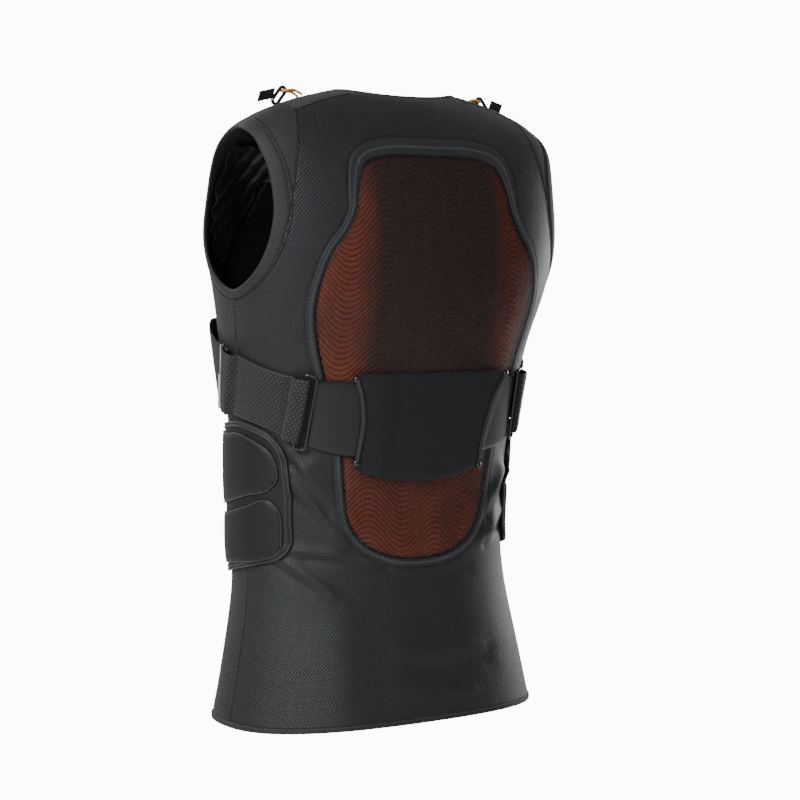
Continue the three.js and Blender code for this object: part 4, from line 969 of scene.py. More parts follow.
side_of = {name: value for name, (value, _) in lines_at(body_points).items()}
open_cloth = np.minimum(side_of["armhole"], side_of["pocket"])
in_yoke = np.minimum(-side_of["yoke_back"], -side_of["yoke_front"])
above_end = (-body_points[:, 2] < SHOULDER_END).reshape(BODY_ROWS, BODY_COLUMNS)
last_row = (above_end & ~np.roll(above_end, -1, axis=0)).ravel()
beside_seam = np.where(last_row, np.maximum(side_of["shoulder"], 0), side_of["shoulder"])
main_cloth = np.minimum.reduce([open_cloth, beside_seam, -in_yoke])
shoulder_cloth = np.minimum(open_cloth, -side_of["shoulder"])
yoke_cloth = np.minimum.reduce([open_cloth, side_of["shoulder"], in_yoke])
face_column = np.tile(np.arange(BODY_COLUMNS), BODY_ROWS - 1)
on_back = face_column < BODY_COLUMNS // 2
on_left = body_points[body_faces].mean(1)[:, 0] > 0


# %% Panels of the body
def body_panel(name, faces, inside, material, slot_name, node_name, points=body_points):
    """One panel of the body, cut from the grid."""
    made, walls = shell(points, body_normals, kept_faces(faces, inside), -WALL, 0)
    uv = np.vstack([body_uv, body_uv])
    return add_piece(name, made, walls, uv, material, slot_name, (node_name,))


back_panel = body_panel(
    "back_panel_cloth", body_faces[on_back], main_cloth, body_mesh, "body_mesh", "back_panel"
)
front_panel = body_panel(
    "front_panel_cloth", body_faces[~on_back], main_cloth, body_mesh, "body_mesh", "front_panel"
)
for side, half in (("left", on_left), ("right", ~on_left)):
    shoulder = body_panel(
        f"shoulder_panel_cloth_{side}", body_faces[half], shoulder_cloth, smooth_cloth,
        "smooth_cloth", f"shoulder_panel_{side}",
    )

# %% [markdown]
# ## Ruched yokes
# Each yoke is a strip of grip cloth gathered on elastic, so it stands in small cross folds.
# The folds are short waves across the strip, worked into the same grid and faded out at its
# edges where the seams hold it flat. A bump could hint at them, but would leave the outline of
# the shoulder smooth.

# %% Yokes
yoke_points = body_points.copy()
back_edge, front_edge = yoke_lines(yoke_points[:, 0])
inside_yoke = np.clip(
    np.minimum(back_edge - yoke_points[:, 1], yoke_points[:, 1] - front_edge) / (7 * MM), 0, 1
)
RUCHE_PITCH, RUCHE_HEIGHT = 7.5 * MM, 1.1 * MM
phase = (np.abs(yoke_points[:, 0]) + 0.35 * yoke_points[:, 1]) * 2 * math.pi / RUCHE_PITCH
wobble = 0.9 * np.sin(yoke_points[:, 1] * 160) + 0.5 * np.sin(yoke_points[:, 0] * 210)
gather = RUCHE_HEIGHT * (np.abs(np.sin(phase / 2 + wobble)) - 0.55) * inside_yoke
yoke_points += body_normals * gather[:, None]
for side, half in (("left", on_left), ("right", ~on_left)):
    yoke = body_panel(
        f"shoulder_yoke_cloth_{side}", body_faces[half], yoke_cloth, ruched_cloth,
        "ruched_cloth", f"shoulder_yoke_{side}", yoke_points,
    )

# %% [markdown]
# ## Tapes, seams and piping
# Edges are bound with folded tape, and seams show as thin ridges. Both follow a path of spots
# on the form: a tape is a strip with a rounded top, a seam or piping is a low tube whose
# section is squashed onto the cloth. A curve with a bevel would make a tube too, but it
# wouldn't follow the cloth's own normals.


# %% Strips and tubes along a path
def rounded_tape(rows_of_spots, inner, outer, ring, tightness=4):
    """A strip over rows of spots, with its long edges rolled under."""
    points, normals = (np.stack([row[k] for row in rows_of_spots]) for k in (0, 1))
    rows, columns = points.shape[:2]
    across = np.linspace(-1, 1, rows)[:, None] + np.zeros(columns)
    crown = (1 - np.abs(across) ** tightness).ravel()
    faces = grid_faces(rows, columns, ring)
    middle = (inner + outer) / 2
    height = outer - (outer - middle) * (1 - crown) * 0.9
    made, walls = shell(points.reshape(-1, 3), normals.reshape(-1, 3), faces, inner, height)
    uv = grid_uv(points)
    return made, walls, np.vstack([uv, uv])


def round_section(path, normals, half_width, half_height, lift, closed, sides):
    """Points of an oval section at each spot of a path."""
    if closed:
        tangent = np.roll(path, -1, 0) - np.roll(path, 1, 0)
    else:
        tangent = np.gradient(path, axis=0)
    tangent /= np.linalg.norm(tangent, axis=1, keepdims=True)
    side = np.cross(tangent, normals)
    side /= np.linalg.norm(side, axis=1, keepdims=True)
    angle = np.linspace(0, 2 * math.pi, sides, endpoint=False)[None, :, None]
    wide = np.broadcast_to(half_width, len(path))[:, None, None]
    return (
        path[:, None]
        + side[:, None] * wide * np.cos(angle)
        + normals[:, None] * (lift + half_height * np.sin(angle))
    )


def tube(path, normals, half_width, half_height, lift=0.0, closed=False, sides=8):
    """A tube with an oval section that lies on the cloth along a path."""
    count = len(path)
    points = round_section(path, normals, half_width, half_height, lift, closed, sides)
    faces = []
    steps = count if closed else count - 1
    for i in range(steps):
        for k in range(sides):
            a, b = i * sides + k, i * sides + (k + 1) % sides
            c, d = ((i + 1) % count) * sides + (k + 1) % sides, ((i + 1) % count) * sides + k
            faces.append([a, b, c, d])
    if not closed:
        faces.append(list(range(sides))[::-1])
        faces.append([(count - 1) * sides + k for k in range(sides)])
    length = np.concatenate([[0], np.cumsum(np.linalg.norm(np.diff(path, axis=0), axis=1))])
    around = np.linspace(0, 2 * math.pi * half_height, sides)
    uv = np.stack(np.meshgrid(around, length), -1).reshape(-1, 2)
    return points.reshape(-1, 3), faces, uv


# %% Bound edges
RING_COLUMNS = 260
ring_turns = SEAM_ANGLE + np.linspace(0, 2 * math.pi, RING_COLUMNS, endpoint=False)


def ring_tape(name, places, proud, node_name):
    """Tape round the neck or the hem."""
    rows = [on_form(np.full(RING_COLUMNS, place), ring_turns) for place in places]
    made = rounded_tape(rows, -WALL - proud, proud, True)
    return add_piece(name, *made, binding_cloth, "binding", (node_name,))


ring_tape("neck_binding_tape", np.linspace(0, 0.31, 9), 0.7 * MM, "neck_binding")
HEM_ROW = 1 * MM / HEM_SPAN
ring_tape(
    "hem_binding_tape", LAST_SECTION - HEM_ROW * np.linspace(6, 0, 9), 0.8 * MM, "hem_binding"
)

armhole_rows = [
    beside(*grown(armhole_line, margin).T) for margin in np.linspace(0, ARMHOLE_BAND, 9)
]
points, faces, uv = rounded_tape(armhole_rows, -WALL - 0.6 * MM, 0.9 * MM, True, 6)
add_pair(
    "armhole_binding_tape", points, faces, uv, smooth_cloth, "binding", "armhole_binding"
)

# %% Seam lines of the armhole, shoulder and side
seam_path = beside(*grown(armhole_line, ARMHOLE_BAND + 0.7 * MM).T)
armhole_seam = tube(*seam_path, 0.7 * MM, 0.35 * MM, 0.1 * MM, closed=True)
add_pair("armhole_seam", *armhole_seam, dark_thread, "binding")
SEAM_TUBE = (0.8 * MM, 0.4 * MM, 0.1 * MM)

for side, name in ((1, "back"), (-1, "front")):
    line = even(shoulder_seam[2:], 90)
    path, normals = facing(side, line[:, 0], line[:, 1])
    keep = signed_distance(np.stack([path[:, 1], -path[:, 2]], -1), armhole_outer)[0] > 0
    seam = tube(path[keep], normals[keep], *SEAM_TUBE)
    add_pair(f"shoulder_{name}_seam", *seam, dark_thread, "smooth_cloth")

seam_drop = np.linspace(0.222, 0.644, 140)
path, normals = level(np.full(140, SEAM_ANGLE), seam_drop)
add_pair("side_seam", *tube(path, normals, *SEAM_TUBE), dark_thread, "body_mesh")

# %% [markdown]
# ## The protector in its pocket
# The pocket is a hole in the back. Its lining is a shallow tray behind the hole, the foam
# protector lies in the tray, the sheer net closes it, and a stitched border holds the net.
# Each of them is an outline filled with a fine grid: grid points close to the outline are
# moved onto it, and the rest outside is left out.


# %% Filling an outline
def patch(loop, cell, spot_of):
    """Spots that fill a flat outline, their faces, flat places and distance in from the edge."""
    low, high = loop.min(0) - cell, loop.max(0) + cell
    columns, rows = np.ceil((high - low) / cell).astype(int) + 1
    across, down = np.linspace(low[0], high[0], columns), np.linspace(low[1], high[1], rows)
    flat = np.stack(np.meshgrid(across, down), -1).reshape(-1, 2)
    distance, away = signed_distance(flat, loop)
    near = np.abs(distance) < 0.52 * cell
    flat[near] -= away[near]
    distance[near] = 0
    faces = kept_faces(grid_faces(rows, columns), -distance, 1e-6)
    points, normals = spot_of(flat[:, 0], flat[:, 1])
    return points, normals, faces, flat, np.maximum(-distance, 0)


def back_spot(x, drop):
    """A spot of the back."""
    return facing(1, x, drop)


def front_spot(x, drop):
    """A spot of the front."""
    return facing(-1, x, drop)


def dressed(name, filled, inner, outer, material, slot_name, node_name, uv=None):
    """A shell over a filled outline."""
    points, normals, faces, flat, _ = filled
    made, walls = shell(points, normals, faces, inner, outer)
    uv = flat if uv is None else uv
    return add_piece(name, made, walls, np.vstack([uv, uv]), material, slot_name, node_name)


# %% [markdown]
# ### Foam, net and lining
# The foam is moulded with wavy ribs. Their waves are worked into its outer face, and its UV map
# counts along the same waves, so the painted shade that the material puts in its grooves lies in
# the real hollows. Foam that is moulded to a shape doesn't swell as a stuffed cushion does, so
# it isn't simulated.

# %% The foam protector
BULGE, PAD_SEAT_DEPTH = 1.2 * MM, 1.9 * MM


def bulge_at(depth):
    """How far the pocket's net stands out, by the distance in from its edge."""
    return BULGE * np.interp(depth, [0, 8 * MM, 32 * MM], [0.2, 0.8, 1.0])


pad_fill = patch(pad_line, 1.7 * MM, back_spot)
pad_flat, pad_depth = pad_fill[3], pad_fill[4]
rib_way = pad_flat[:, 1] + RIB_SWING * np.cos(
    (pad_flat[:, 0] - RIB_CREST) * 2 * math.pi / RIB_WAVE
)
rib = 0.5 + 0.5 * np.sin(rib_way * 2 * math.pi / RIB_PITCH)
pad_face = bulge_at(pad_depth) - PAD_SEAT_DEPTH
pad_outer = pad_face - RIB_HEIGHT * rib * np.clip(pad_depth / (6 * MM), 0, 1)
pad_outer -= 1.6 * MM * np.clip(1 - pad_depth / (5 * MM), 0, 1) ** 2
pad_thick = np.interp(pad_depth, [0, 9 * MM, 36 * MM], [6 * MM, 11.2 * MM, 14 * MM])
pad_inner = pad_face - pad_thick
protector = dressed(
    "back_protector_foam", pad_fill, pad_inner, pad_outer, orange_foam, "foam_orange",
    ("back_protector",), np.stack([pad_flat[:, 0], rib_way], -1),
)

# %% Net and lining
window_fill = patch(grown(pad_line, 1 * MM), 2.4 * MM, back_spot)
window_outer = bulge_at(window_fill[4])
window = dressed(
    "pocket_window_net", window_fill, window_outer - 1 * MM, window_outer, window_net,
    "window_mesh", ("pocket_window",),
)

lining_line = grown(pad_line, 1 * MM + border_width(pad_line) + 10 * MM)
lining_fill = patch(lining_line, 4 * MM, back_spot)
lining_outer = -np.maximum(
    17.5 * MM * np.interp(lining_fill[4], [0, 10 * MM, 50 * MM], [0.17, 0.85, 1.0]), 3.2 * MM
)
lining = dressed(
    "pocket_lining_cloth", lining_fill, lining_outer - 1.2 * MM, lining_outer, smooth_cloth,
    "smooth_cloth", ("pocket_lining",),
)

# %% Pocket border
FLAT_TOP = 8
border_rows = [
    back_spot(*(border_inner + share * (border_outer - border_inner)).T)
    for share in np.linspace(0, 1, 10)
]
points, faces, uv = rounded_tape(border_rows, -WALL, 0.8 * MM, True, FLAT_TOP)
pocket_border = add_piece(
    "pocket_border_tape", points, faces, uv, border_cloth, "binding", ("pocket_border",)
)

# %% [markdown]
# ## Inside the front: chest pad and satin
# Through the armhole the inside of the front shows: the edge of a thin chest pad, and a glossy
# satin lining that lies in slanting creases. The creases are real folds of the sheet, worked as
# waves that run slantwise, because only real folds give the sharp streaks of light.

# %% Chest pad
CHEST_TOP, CHEST_HEIGHT, CHEST_HALF = 0.092, 0.198, 0.143
chest_half = np.array([
    [0, 0.10], [0.35, 0.06], [0.56, 0], [0.64, 0.03], [0.70, 0.15], [0.78, 0.26], [0.90, 0.37],
    [0.98, 0.46], [1, 0.62], [0.88, 0.80], [0.66, 0.91], [0.35, 0.98], [0, 1],
]) * [CHEST_HALF, CHEST_HEIGHT] + [0, CHEST_TOP]
chest_line = smooth_loop(mirrored_outline(chest_half), 200)
chest_fill = patch(chest_line, 4 * MM, front_spot)
chest_outer = np.full(len(chest_fill[0]), -WALL - 1.6 * MM)
CHEST_THICK = 7 * MM
chest_crown = np.interp(chest_fill[4], [0, 14 * MM, 40 * MM], [0.35, 0.9, 1])
chest_inner = chest_outer - CHEST_THICK * chest_crown
chest_pad = dressed(
    "chest_pad_cushion", chest_fill, chest_inner, chest_outer, neoprene, "neoprene",
    ("chest_pad",),
)

# %% Satin lining
SATIN_ROWS, SATIN_COLUMNS = 140, 110
satin_drop = np.linspace(0.060, 0.187, SATIN_ROWS)
satin_inside = np.interp(satin_drop, chest_half[2:9, 1], chest_half[2:9, 0]) + 5 * MM
satin_edge = np.interp(satin_drop, [0.060, 0.090, 0.187], [-28 * MM, -46 * MM, -50.6 * MM])
satin_outside = beside(satin_edge, satin_drop)[0][:, 0]
share = np.linspace(0, 1, SATIN_COLUMNS)
satin_x = satin_inside[:, None] + share * (satin_outside - satin_inside)[:, None]
satin_points, satin_normals = front_spot(satin_x, satin_drop[:, None])
slant = 0.66 * satin_points[..., 2] + 0.75 * satin_x
bend = 4 * MM * np.sin(satin_points[..., 2] * 42) + 2 * MM * np.sin(satin_x * 60)
WIDE_CREASE, FINE_CREASE, CREASE_DEPTH = 15 * MM, 6.5 * MM, 4.5 * MM
wide_crease = 0.5 + 0.5 * np.sin((slant + bend) * 2 * math.pi / WIDE_CREASE)
fine_crease = 0.5 + 0.5 * np.sin((slant - bend) * 2 * math.pi / FINE_CREASE)
crease = 0.92 * wide_crease**1.2 + 0.08 * fine_crease
fall = (-WALL - 1.6 * MM - CREASE_DEPTH * crease).ravel()
made, walls = shell(
    satin_points.reshape(-1, 3), satin_normals.reshape(-1, 3),
    grid_faces(SATIN_ROWS, SATIN_COLUMNS), fall - 1.0 * MM, fall,
)
satin_uv = grid_uv(satin_points)
linings = add_pair(
    "side_lining_satin", made, walls, np.vstack([satin_uv, satin_uv]), satin, "satin_lining",
    "side_lining",
)

# %% [markdown]
# ## The belt
# On each side a coated wing leaves the pocket's tunnel and holds a ring. A wide elastic folds
# over the ring's far bar, crosses the side pad and folds over a second ring, from which a
# webbing strap goes to the front. The belt's edges are read from a small table by the angle
# around the body.

# %% The belt's way
BELT_WIDTH, BELT_DROP, BELT_LIFT = 70 * MM, 299 * MM, 6.5 * MM
STRAP = 1.8 * MM
# angle around in degrees; rise, width and lift as shares; slant in degrees
BELT_WAY = np.array([
    [64, 0, 1.08, 0.10, 0], [54, 0.01, 1.04, 0.10, 0], [47, 0.03, 1, 0.10, 3],
    [41, 0.06, 0.97, 0.10, 6], [37, 0.08, 0.94, 0.10, 6.5], [30, 0.12, 0.91, 0.16, 7],
    [21, 0.20, 0.88, 0.20, 7.5], [11, 0.30, 0.90, 0.24, 8], [3, 0.39, 0.94, 0.27, 8.5],
    [-11, 0.55, 0.99, 0.35, 8.5], [-20, 0.74, 1.08, 0.95, 6], [-35, 0.86, 1.14, 1.15, 0],
    [-60, 0.92, 1.14, 0.45, 0], [-90, 0.95, 1.12, 0.30, 0], [-110, 0.95, 1.12, 0.30, 0],
])[::-1]
print("the belt climbs", round(BELT_WAY[:, 1].max() * BELT_WIDTH / MM), "mm from back to front")


def belt_at(around):
    """Upper edge, lower edge, lift and slant of the belt at an angle in degrees."""
    rise, width, lift, slant = (
        np.interp(around, BELT_WAY[:, 0], BELT_WAY[:, k]) for k in (1, 2, 3, 4)
    )
    top = BELT_DROP - rise * BELT_WIDTH
    return top, top + width * BELT_WIDTH, lift * BELT_LIFT, slant


def belt_spot(around, share):
    """The spot at a share of the belt's width; a line across it leans, top to the back."""
    at = around + belt_at(around)[3] * (0.5 - share)
    top, bottom, _, _ = belt_at(at)
    return level(np.radians(at), top + share * (bottom - top))


def belt_spots(around, rows):
    """A grid of spots across the belt and along its angles."""
    return belt_spot(np.asarray(around)[None, :], np.linspace(0, 1, rows)[:, None])


def strap(around, height, rows, half_thick=STRAP / 2):
    """A band whose middle follows heights over the body, with its two faces set off from it."""
    spots, normals = belt_spots(around, rows)
    middle = spots + normals * np.asarray(height)[None, :, None]
    along = np.gradient(middle, axis=1)
    across = np.gradient(middle, axis=0)
    out = np.cross(across, along)
    out /= np.linalg.norm(out, axis=-1, keepdims=True)
    edge = np.abs(np.linspace(-1, 1, rows))[:, None] ** 12 + 0 * np.asarray(around)
    thick = half_thick * (1 - 0.55 * edge).ravel()
    faces = grid_faces(rows, len(around))
    made, walls = shell(middle.reshape(-1, 3), out.reshape(-1, 3), faces, -thick, thick)
    uv = grid_uv(middle)
    return made, walls, np.vstack([uv, uv])


# %% [markdown]
# ### Wings and rings
# A ring is a round bar bent into a narrow rectangle. It is stiff, so it doesn't follow the body:
# it lies in one plane, at the height of the highest spot beneath it. The wing is a strip of
# coated cloth that runs in under it from the pocket.

# %% Wings and rings
WING_HEIGHT, WING_THICK, LAYER = 1.8 * MM, 1.5 * MM, 0.9 * MM
RING_SIZE, RING_WIRE, RING_THICK = np.array([15, 79]) * MM, 3.2 * MM, 2.4 * MM
BACK_RING, SIDE_RING = 40.5, -6.0
back_height = WING_HEIGHT + WING_THICK + LAYER
side_height = belt_at(SIDE_RING)[2] + STRAP + LAYER


def ring_place(around, height):
    """Where a ring lies: its rise, origin and three axes, on the highest line of the belt."""
    spots, normals = belt_spot(around, np.array([0, 0.5, 1]))
    y = spots[0] - spots[2]
    y /= np.linalg.norm(y)
    x = np.cross(y, normals[1])
    x /= np.linalg.norm(x)
    z = np.cross(x, y)
    lifted = spots + normals * height
    rise = max(0.0, *((lifted - lifted[1]) @ z))
    return rise, lifted[1] + rise * z, np.stack([x, y, z])


def rounded_rectangle(size, corner, steps=10):
    """The middle line of a ring's bar, evenly spread."""
    w, h = size[0] / 2 - corner, size[1] / 2 - corner
    turn = np.linspace(0, math.pi / 2, steps)
    parts = []
    for quarter, (cx, cy) in enumerate(((w, h), (-w, h), (-w, -h), (w, -h))):
        angle = turn + quarter * math.pi / 2
        parts.append(np.stack([cx + corner * np.cos(angle), cy + corner * np.sin(angle)], -1))
    return even(np.vstack(parts), 150, closed=True)


def ring_points(flat, place, height):
    """Flat places of a ring brought onto the body."""
    _, origin, axes = place
    flat = np.atleast_2d(flat)
    return origin + flat @ axes[:2] + height * axes[2]


wing_around = np.linspace(66, 43.5, 40)
wing_middle = np.full(40, WING_HEIGHT + WING_THICK / 2)
points, faces, uv = strap(wing_around, wing_middle, 24, WING_THICK / 2)
wings = add_pair("belt_wing_cloth", points, faces, uv, wing_cloth, "coated_wing", "belt_wing")

ring_line = rounded_rectangle(RING_SIZE - RING_WIRE, 3.4 * MM)
for name, around, height in (("back", BACK_RING, back_height), ("side", SIDE_RING, side_height)):
    place = ring_place(around, height)
    path = ring_points(ring_line, place, RING_THICK / 2)
    normals = np.broadcast_to(place[2][2], path.shape)
    points, faces, uv = tube(path, normals, RING_WIRE / 2, RING_THICK / 2, closed=True, sides=14)
    add_pair(
        f"belt_ring_{name}_moulding", points, faces, uv, black_plastic, "ring_plastic",
        f"belt_ring_{name}",
    )

# %% [markdown]
# ### Elastic and front straps
# Each end of the elastic goes over a ring's bar and folds down behind it. Both the angles and
# the heights along it are written as short lists: the fold, the flat part over the ring, the
# slope down to the body, and the long way between. The front straps cross at the front, where
# the left one lies over the right one.

# %% Elastic straps
TWIST = 1.3 * MM


def height_over(around, height):
    """How high a strap's middle goes where it passes over a ring."""
    rise = ring_place(around, height)[0]
    return height + rise + RING_THICK + TWIST + LAYER + STRAP / 2


over_back = height_over(BACK_RING, back_height)
over_side = height_over(SIDE_RING, side_height)
low = LAYER + STRAP / 2
back_end, side_end = BACK_RING - 0.5, SIDE_RING - 0.2
middle_around = np.linspace(BACK_RING - 9.4, SIDE_RING + 7.6, 140)
middle_height = np.maximum(low, belt_at(middle_around)[2] + STRAP / 2)
elastic_around = np.concatenate([
    [back_end, back_end, back_end - 0.1, back_end - 0.35, back_end - 0.7],
    np.linspace(BACK_RING - 1.9, BACK_RING - 6.0, 10),
    BACK_RING - np.array([6.9, 7.8, 8.7]),
    middle_around,
    SIDE_RING + np.array([6.8, 6.1, 5.4]),
    np.linspace(SIDE_RING + 4.7, SIDE_RING + 1.2, 6),
    [side_end + 0.7, side_end + 0.35, side_end + 0.1, side_end, side_end],
])
elastic_height = np.concatenate([
    [low + 0.6 * MM, over_back - 1.6 * MM, over_back - 0.8 * MM, over_back - 0.3 * MM, over_back],
    np.full(10, over_back),
    low + (over_back - low) * np.array([0.86, 0.5, 0.14]),
    middle_height,
    middle_height[-1] + (over_side - middle_height[-1]) * np.array([0.14, 0.5, 0.86]),
    np.full(6, over_side),
    [over_side, over_side - 0.3 * MM, over_side - 0.8 * MM, over_side - 1.6 * MM, low + 0.9 * MM],
])
points, faces, uv = strap(elastic_around, elastic_height, 30)
elastics = add_pair(
    "belt_elastic_webbing", points, faces, uv, elastic_cloth, "elastic", "belt_elastic"
)

# %% Front straps
for side, lap in (("left", 2.7 * MM), ("right", 0.0)):
    around = np.concatenate([[-7.2, -7.6, -8.2, -9.2], np.linspace(-10.2, -100, 200)])
    share = np.clip((-around - 50) / 20, 0, 1)
    height = belt_at(around)[2] + STRAP / 2 + lap * ease(share)
    points, faces, uv = strap(around, height, 24)
    if side == "right":
        points = points * MIRROR
        faces = [list(reversed(face)) for face in faces]
    piece = add_piece(
        f"belt_front_strap_{side}", points, faces, uv, strap_cloth, "elastic",
        (f"belt_front_{side}",),
    )

# %% [markdown]
# ### The belt's tunnel
# The wings meet under a dense, ribbed cloth that spans the pocket, with slanting sides and an
# edge that sags at the bottom. Its height steps up from the net to the wings near each end, as
# cloth does over a layer, so it never cuts through what it covers.

# %% Belt tunnel
TUNNEL_EDGES = np.array([
    [0, 0.90, -1.10], [0.14, 0.85, -1.04], [0.35, 0.795, -0.965], [0.56, 0.785, -0.885],
    [0.78, 0.785, -0.81], [1, 0.815, -0.755],
])
TUNNEL_DROP, TUNNEL_HEIGHT, TUNNEL_SAG, TUNNEL_HALF = 0.291, 0.097, 0.014, 0.093
down = np.linspace(0, 1, 60)[:, None]
left, right = (np.interp(down, TUNNEL_EDGES[:, 0], TUNNEL_EDGES[:, k]) for k in (1, 2))
share = np.linspace(0, 1, 90)
tunnel_x = (left + share * (right - left)) * TUNNEL_HALF
tunnel_drop = TUNNEL_DROP + down * TUNNEL_HEIGHT + TUNNEL_SAG * (1 - (2 * share - 1) ** 2) * down
tunnel_spots, tunnel_normals = back_spot(tunnel_x, tunnel_drop)
step = np.clip((np.abs(2 * share - 1) - 0.5) / 0.22, 0, 1)
over_net, over_wing = BULGE + LAYER, WING_HEIGHT + WING_THICK + 0.3 * MM
tunnel_inner = over_net + (over_wing - BULGE - LAYER) * ease(step)
tunnel_inner = np.broadcast_to(tunnel_inner, tunnel_x.shape).ravel()
tunnel_edge = np.maximum(np.abs(2 * down - 1), np.abs(2 * share - 1)) ** 16
points, faces = shell(
    tunnel_spots.reshape(-1, 3), tunnel_normals.reshape(-1, 3), grid_faces(60, 90),
    tunnel_inner, tunnel_inner + 1.2 * MM * (1 - 0.75 * tunnel_edge.ravel()),
)
uv = grid_uv(tunnel_spots)
tunnel = add_piece(
    "belt_tunnel_cloth_panel", points, faces, np.vstack([uv, uv]), tunnel_cloth, "tunnel_cloth",
    ("belt_tunnel",),
)

# %% [markdown]
# ## Side pads
# Below the armhole each side has a thin padded panel with two raised lobes. The panel and its
# lobes are outlines drawn as seen from the side. They are moulded foam faced with knit, so each
# gets a low face with rounded edges, and no cushion is blown up by a simulation.

# %% Side pads
SIDE_MIDDLE_Y, SIDE_DEPTH, SIDE_TOP, SIDE_HEIGHT = -16.5 * MM, 143 * MM, 341 * MM, 159 * MM


def side_outline(corners):
    """A pad's outline in metres from shares along and down the side pad."""
    corners = np.asarray(corners) * [SIDE_DEPTH, SIDE_HEIGHT] + [SIDE_MIDDLE_Y, SIDE_TOP]
    return smooth_loop(corners, 200)


side_line = side_outline([
    [0.12, 0], [0.27, 0.02], [0.41, 0.07], [0.485, 0.165], [0.50, 0.28], [0.50, 0.43],
    [0.49, 0.61], [0.485, 0.77], [0.43, 0.85], [0.27, 0.90], [0.03, 0.95], [-0.24, 0.995],
    [-0.42, 0.96], [-0.50, 0.82], [-0.50, 0.39], [-0.48, 0.16], [-0.33, 0.06], [-0.10, 0.02],
])
lobe_lines = {
    "upper": side_outline([
        [-0.03, 0.085], [0.12, 0.075], [0.32, 0.125], [0.415, 0.19], [0.44, 0.34], [0.37, 0.42],
        [0.19, 0.465], [-0.10, 0.53], [-0.36, 0.56], [-0.435, 0.50], [-0.43, 0.20], [-0.31, 0.10],
    ]),
    "lower": side_outline([
        [-0.10, 0.60], [0.18, 0.535], [0.36, 0.485], [0.43, 0.55], [0.44, 0.71], [0.42, 0.82],
        [0.29, 0.875], [0.10, 0.90], [-0.15, 0.93], [-0.36, 0.92], [-0.435, 0.83], [-0.43, 0.69],
        [-0.34, 0.63],
    ]),
}
PAD_SEAT, PAD_BASE, PAD_LOBE, LOBE_SEAT = 1.0 * MM, 2.4 * MM, 3.0 * MM, 3.6 * MM
base_fill = patch(side_line, 2.6 * MM, beside)
base_outer = PAD_SEAT + PAD_BASE * np.interp(base_fill[4], [0, 2 * MM, 5 * MM], [0.6, 0.9, 1.0])
points, normals, faces, flat, _ = base_fill
made, walls = shell(points, normals, faces, PAD_SEAT, base_outer)
bases = add_pair(
    "side_pad_base", made, walls, np.vstack([flat, flat]), neoprene, "neoprene", "side_pad"
)

lobes = []
for name, loop in lobe_lines.items():
    points, normals, faces, flat, depth = patch(loop, 2.2 * MM, beside)
    rounded = np.interp(
        depth, [0, 0.8 * MM, 2.2 * MM, 5 * MM, 20 * MM], [0.2, 0.5, 0.72, 0.82, 1.0]
    )
    made, walls = shell(points, normals, faces, LOBE_SEAT, LOBE_SEAT + PAD_LOBE * rounded)
    lobes += add_pair(
        f"side_pad_{name}_lobe_pad", made, walls, np.vstack([flat, flat]), neoprene, "neoprene",
        f"side_pad_{name}_lobe",
    )

# %% [markdown]
# ## Shoulder fittings
# In the seam beside each yoke stands a small plastic clip with a folded tab on it, and a thin
# orange elastic cord runs from the yoke through the clip and back. The clip is the same bent bar
# as a ring, and the cord is a tube along a spline through a few chosen corners.

# %% Clip
CLIP_X, CLIP_Y, CLIP_SEAT, CLIP_TILT = 131 * MM, 24 * MM, 1.3 * MM, math.radians(38)
CLIP_SIZE, CLIP_WIRE, CLIP_THICK = np.array([9, 22]) * MM, 2.2 * MM, 2.4 * MM


def top_spot(x, y):
    """The spot of the shoulder straight below a point."""
    low, high = 0.0, float(LAST_SECTION)
    for _ in range(30):
        place = (low + high) / 2
        section = section_at(place)
        cosine = min(x / section[3], 1) ** (section[7] / 2)
        around = math.atan2(math.sqrt(1 - cosine**2) * (1 if y >= section[5] else -1), cosine)
        reach = abs(smooth_form(place, around)[1] - section[5]) - abs(y - section[5])
        low, high = (place, high) if reach < 0 else (low, place)
    return on_form(place, around)


clip_up = np.array([-math.sin(CLIP_TILT), 0, math.cos(CLIP_TILT)])
clip_side = np.cross(clip_up, [0, 1, 0])
spot, normal = top_spot(CLIP_X, CLIP_Y)
clip_foot = spot + normal * CLIP_SEAT
clip_line = rounded_rectangle(CLIP_SIZE - CLIP_WIRE, 3.2 * MM) + [0, CLIP_SIZE[1] / 2]
path = clip_foot + clip_line @ np.stack([clip_side, clip_up])
facing_back = np.broadcast_to(np.array([0.0, 1, 0]), path.shape)
points, faces, uv = tube(
    path, facing_back, 0.8 * CLIP_WIRE, 0.9 * CLIP_THICK, closed=True, sides=12
)
add_pair(
    "shoulder_clip_moulding", points, faces, uv, black_plastic, "ring_plastic", "shoulder_clip"
)

# %% Tab
TAB_SIZE, TAB_THICK, TAB_SLANT = np.array([16, 11]) * MM, 1.8 * MM, 4.4 * MM
TAB_TILT, TAB_ROUND = math.radians(60), 0.35 * MM
hold = clip_foot + clip_up * 6.6 * MM + [CLIP_SIZE[0] / 2 + 0.6 * MM, CLIP_THICK / 2, 0]
tab_across, tab_down = np.meshgrid(np.linspace(0, 1, 24), np.linspace(0, 1, 16))
tab_x = tab_across * TAB_SIZE[0]
tab_y = tab_down * TAB_SIZE[1] - tab_across * TAB_SLANT
tab_axes = np.array([
    [1, 0, 0],
    [0, math.cos(TAB_TILT), math.sin(TAB_TILT)],
    [0, -math.sin(TAB_TILT), math.cos(TAB_TILT)],
])
tab_points = hold + np.stack([tab_x, tab_y], -1) @ tab_axes[:2]
tab_out = np.broadcast_to(tab_axes[2], tab_points.shape).reshape(-1, 3)
tab_edge = np.maximum(np.abs(2 * tab_across - 1), np.abs(2 * tab_down - 1)) ** 8
points, faces = shell(
    tab_points.reshape(-1, 3), tab_out, grid_faces(16, 24),
    TAB_ROUND * tab_edge.ravel(), TAB_THICK - TAB_ROUND * tab_edge.ravel(),
)
uv = grid_uv(tab_points)
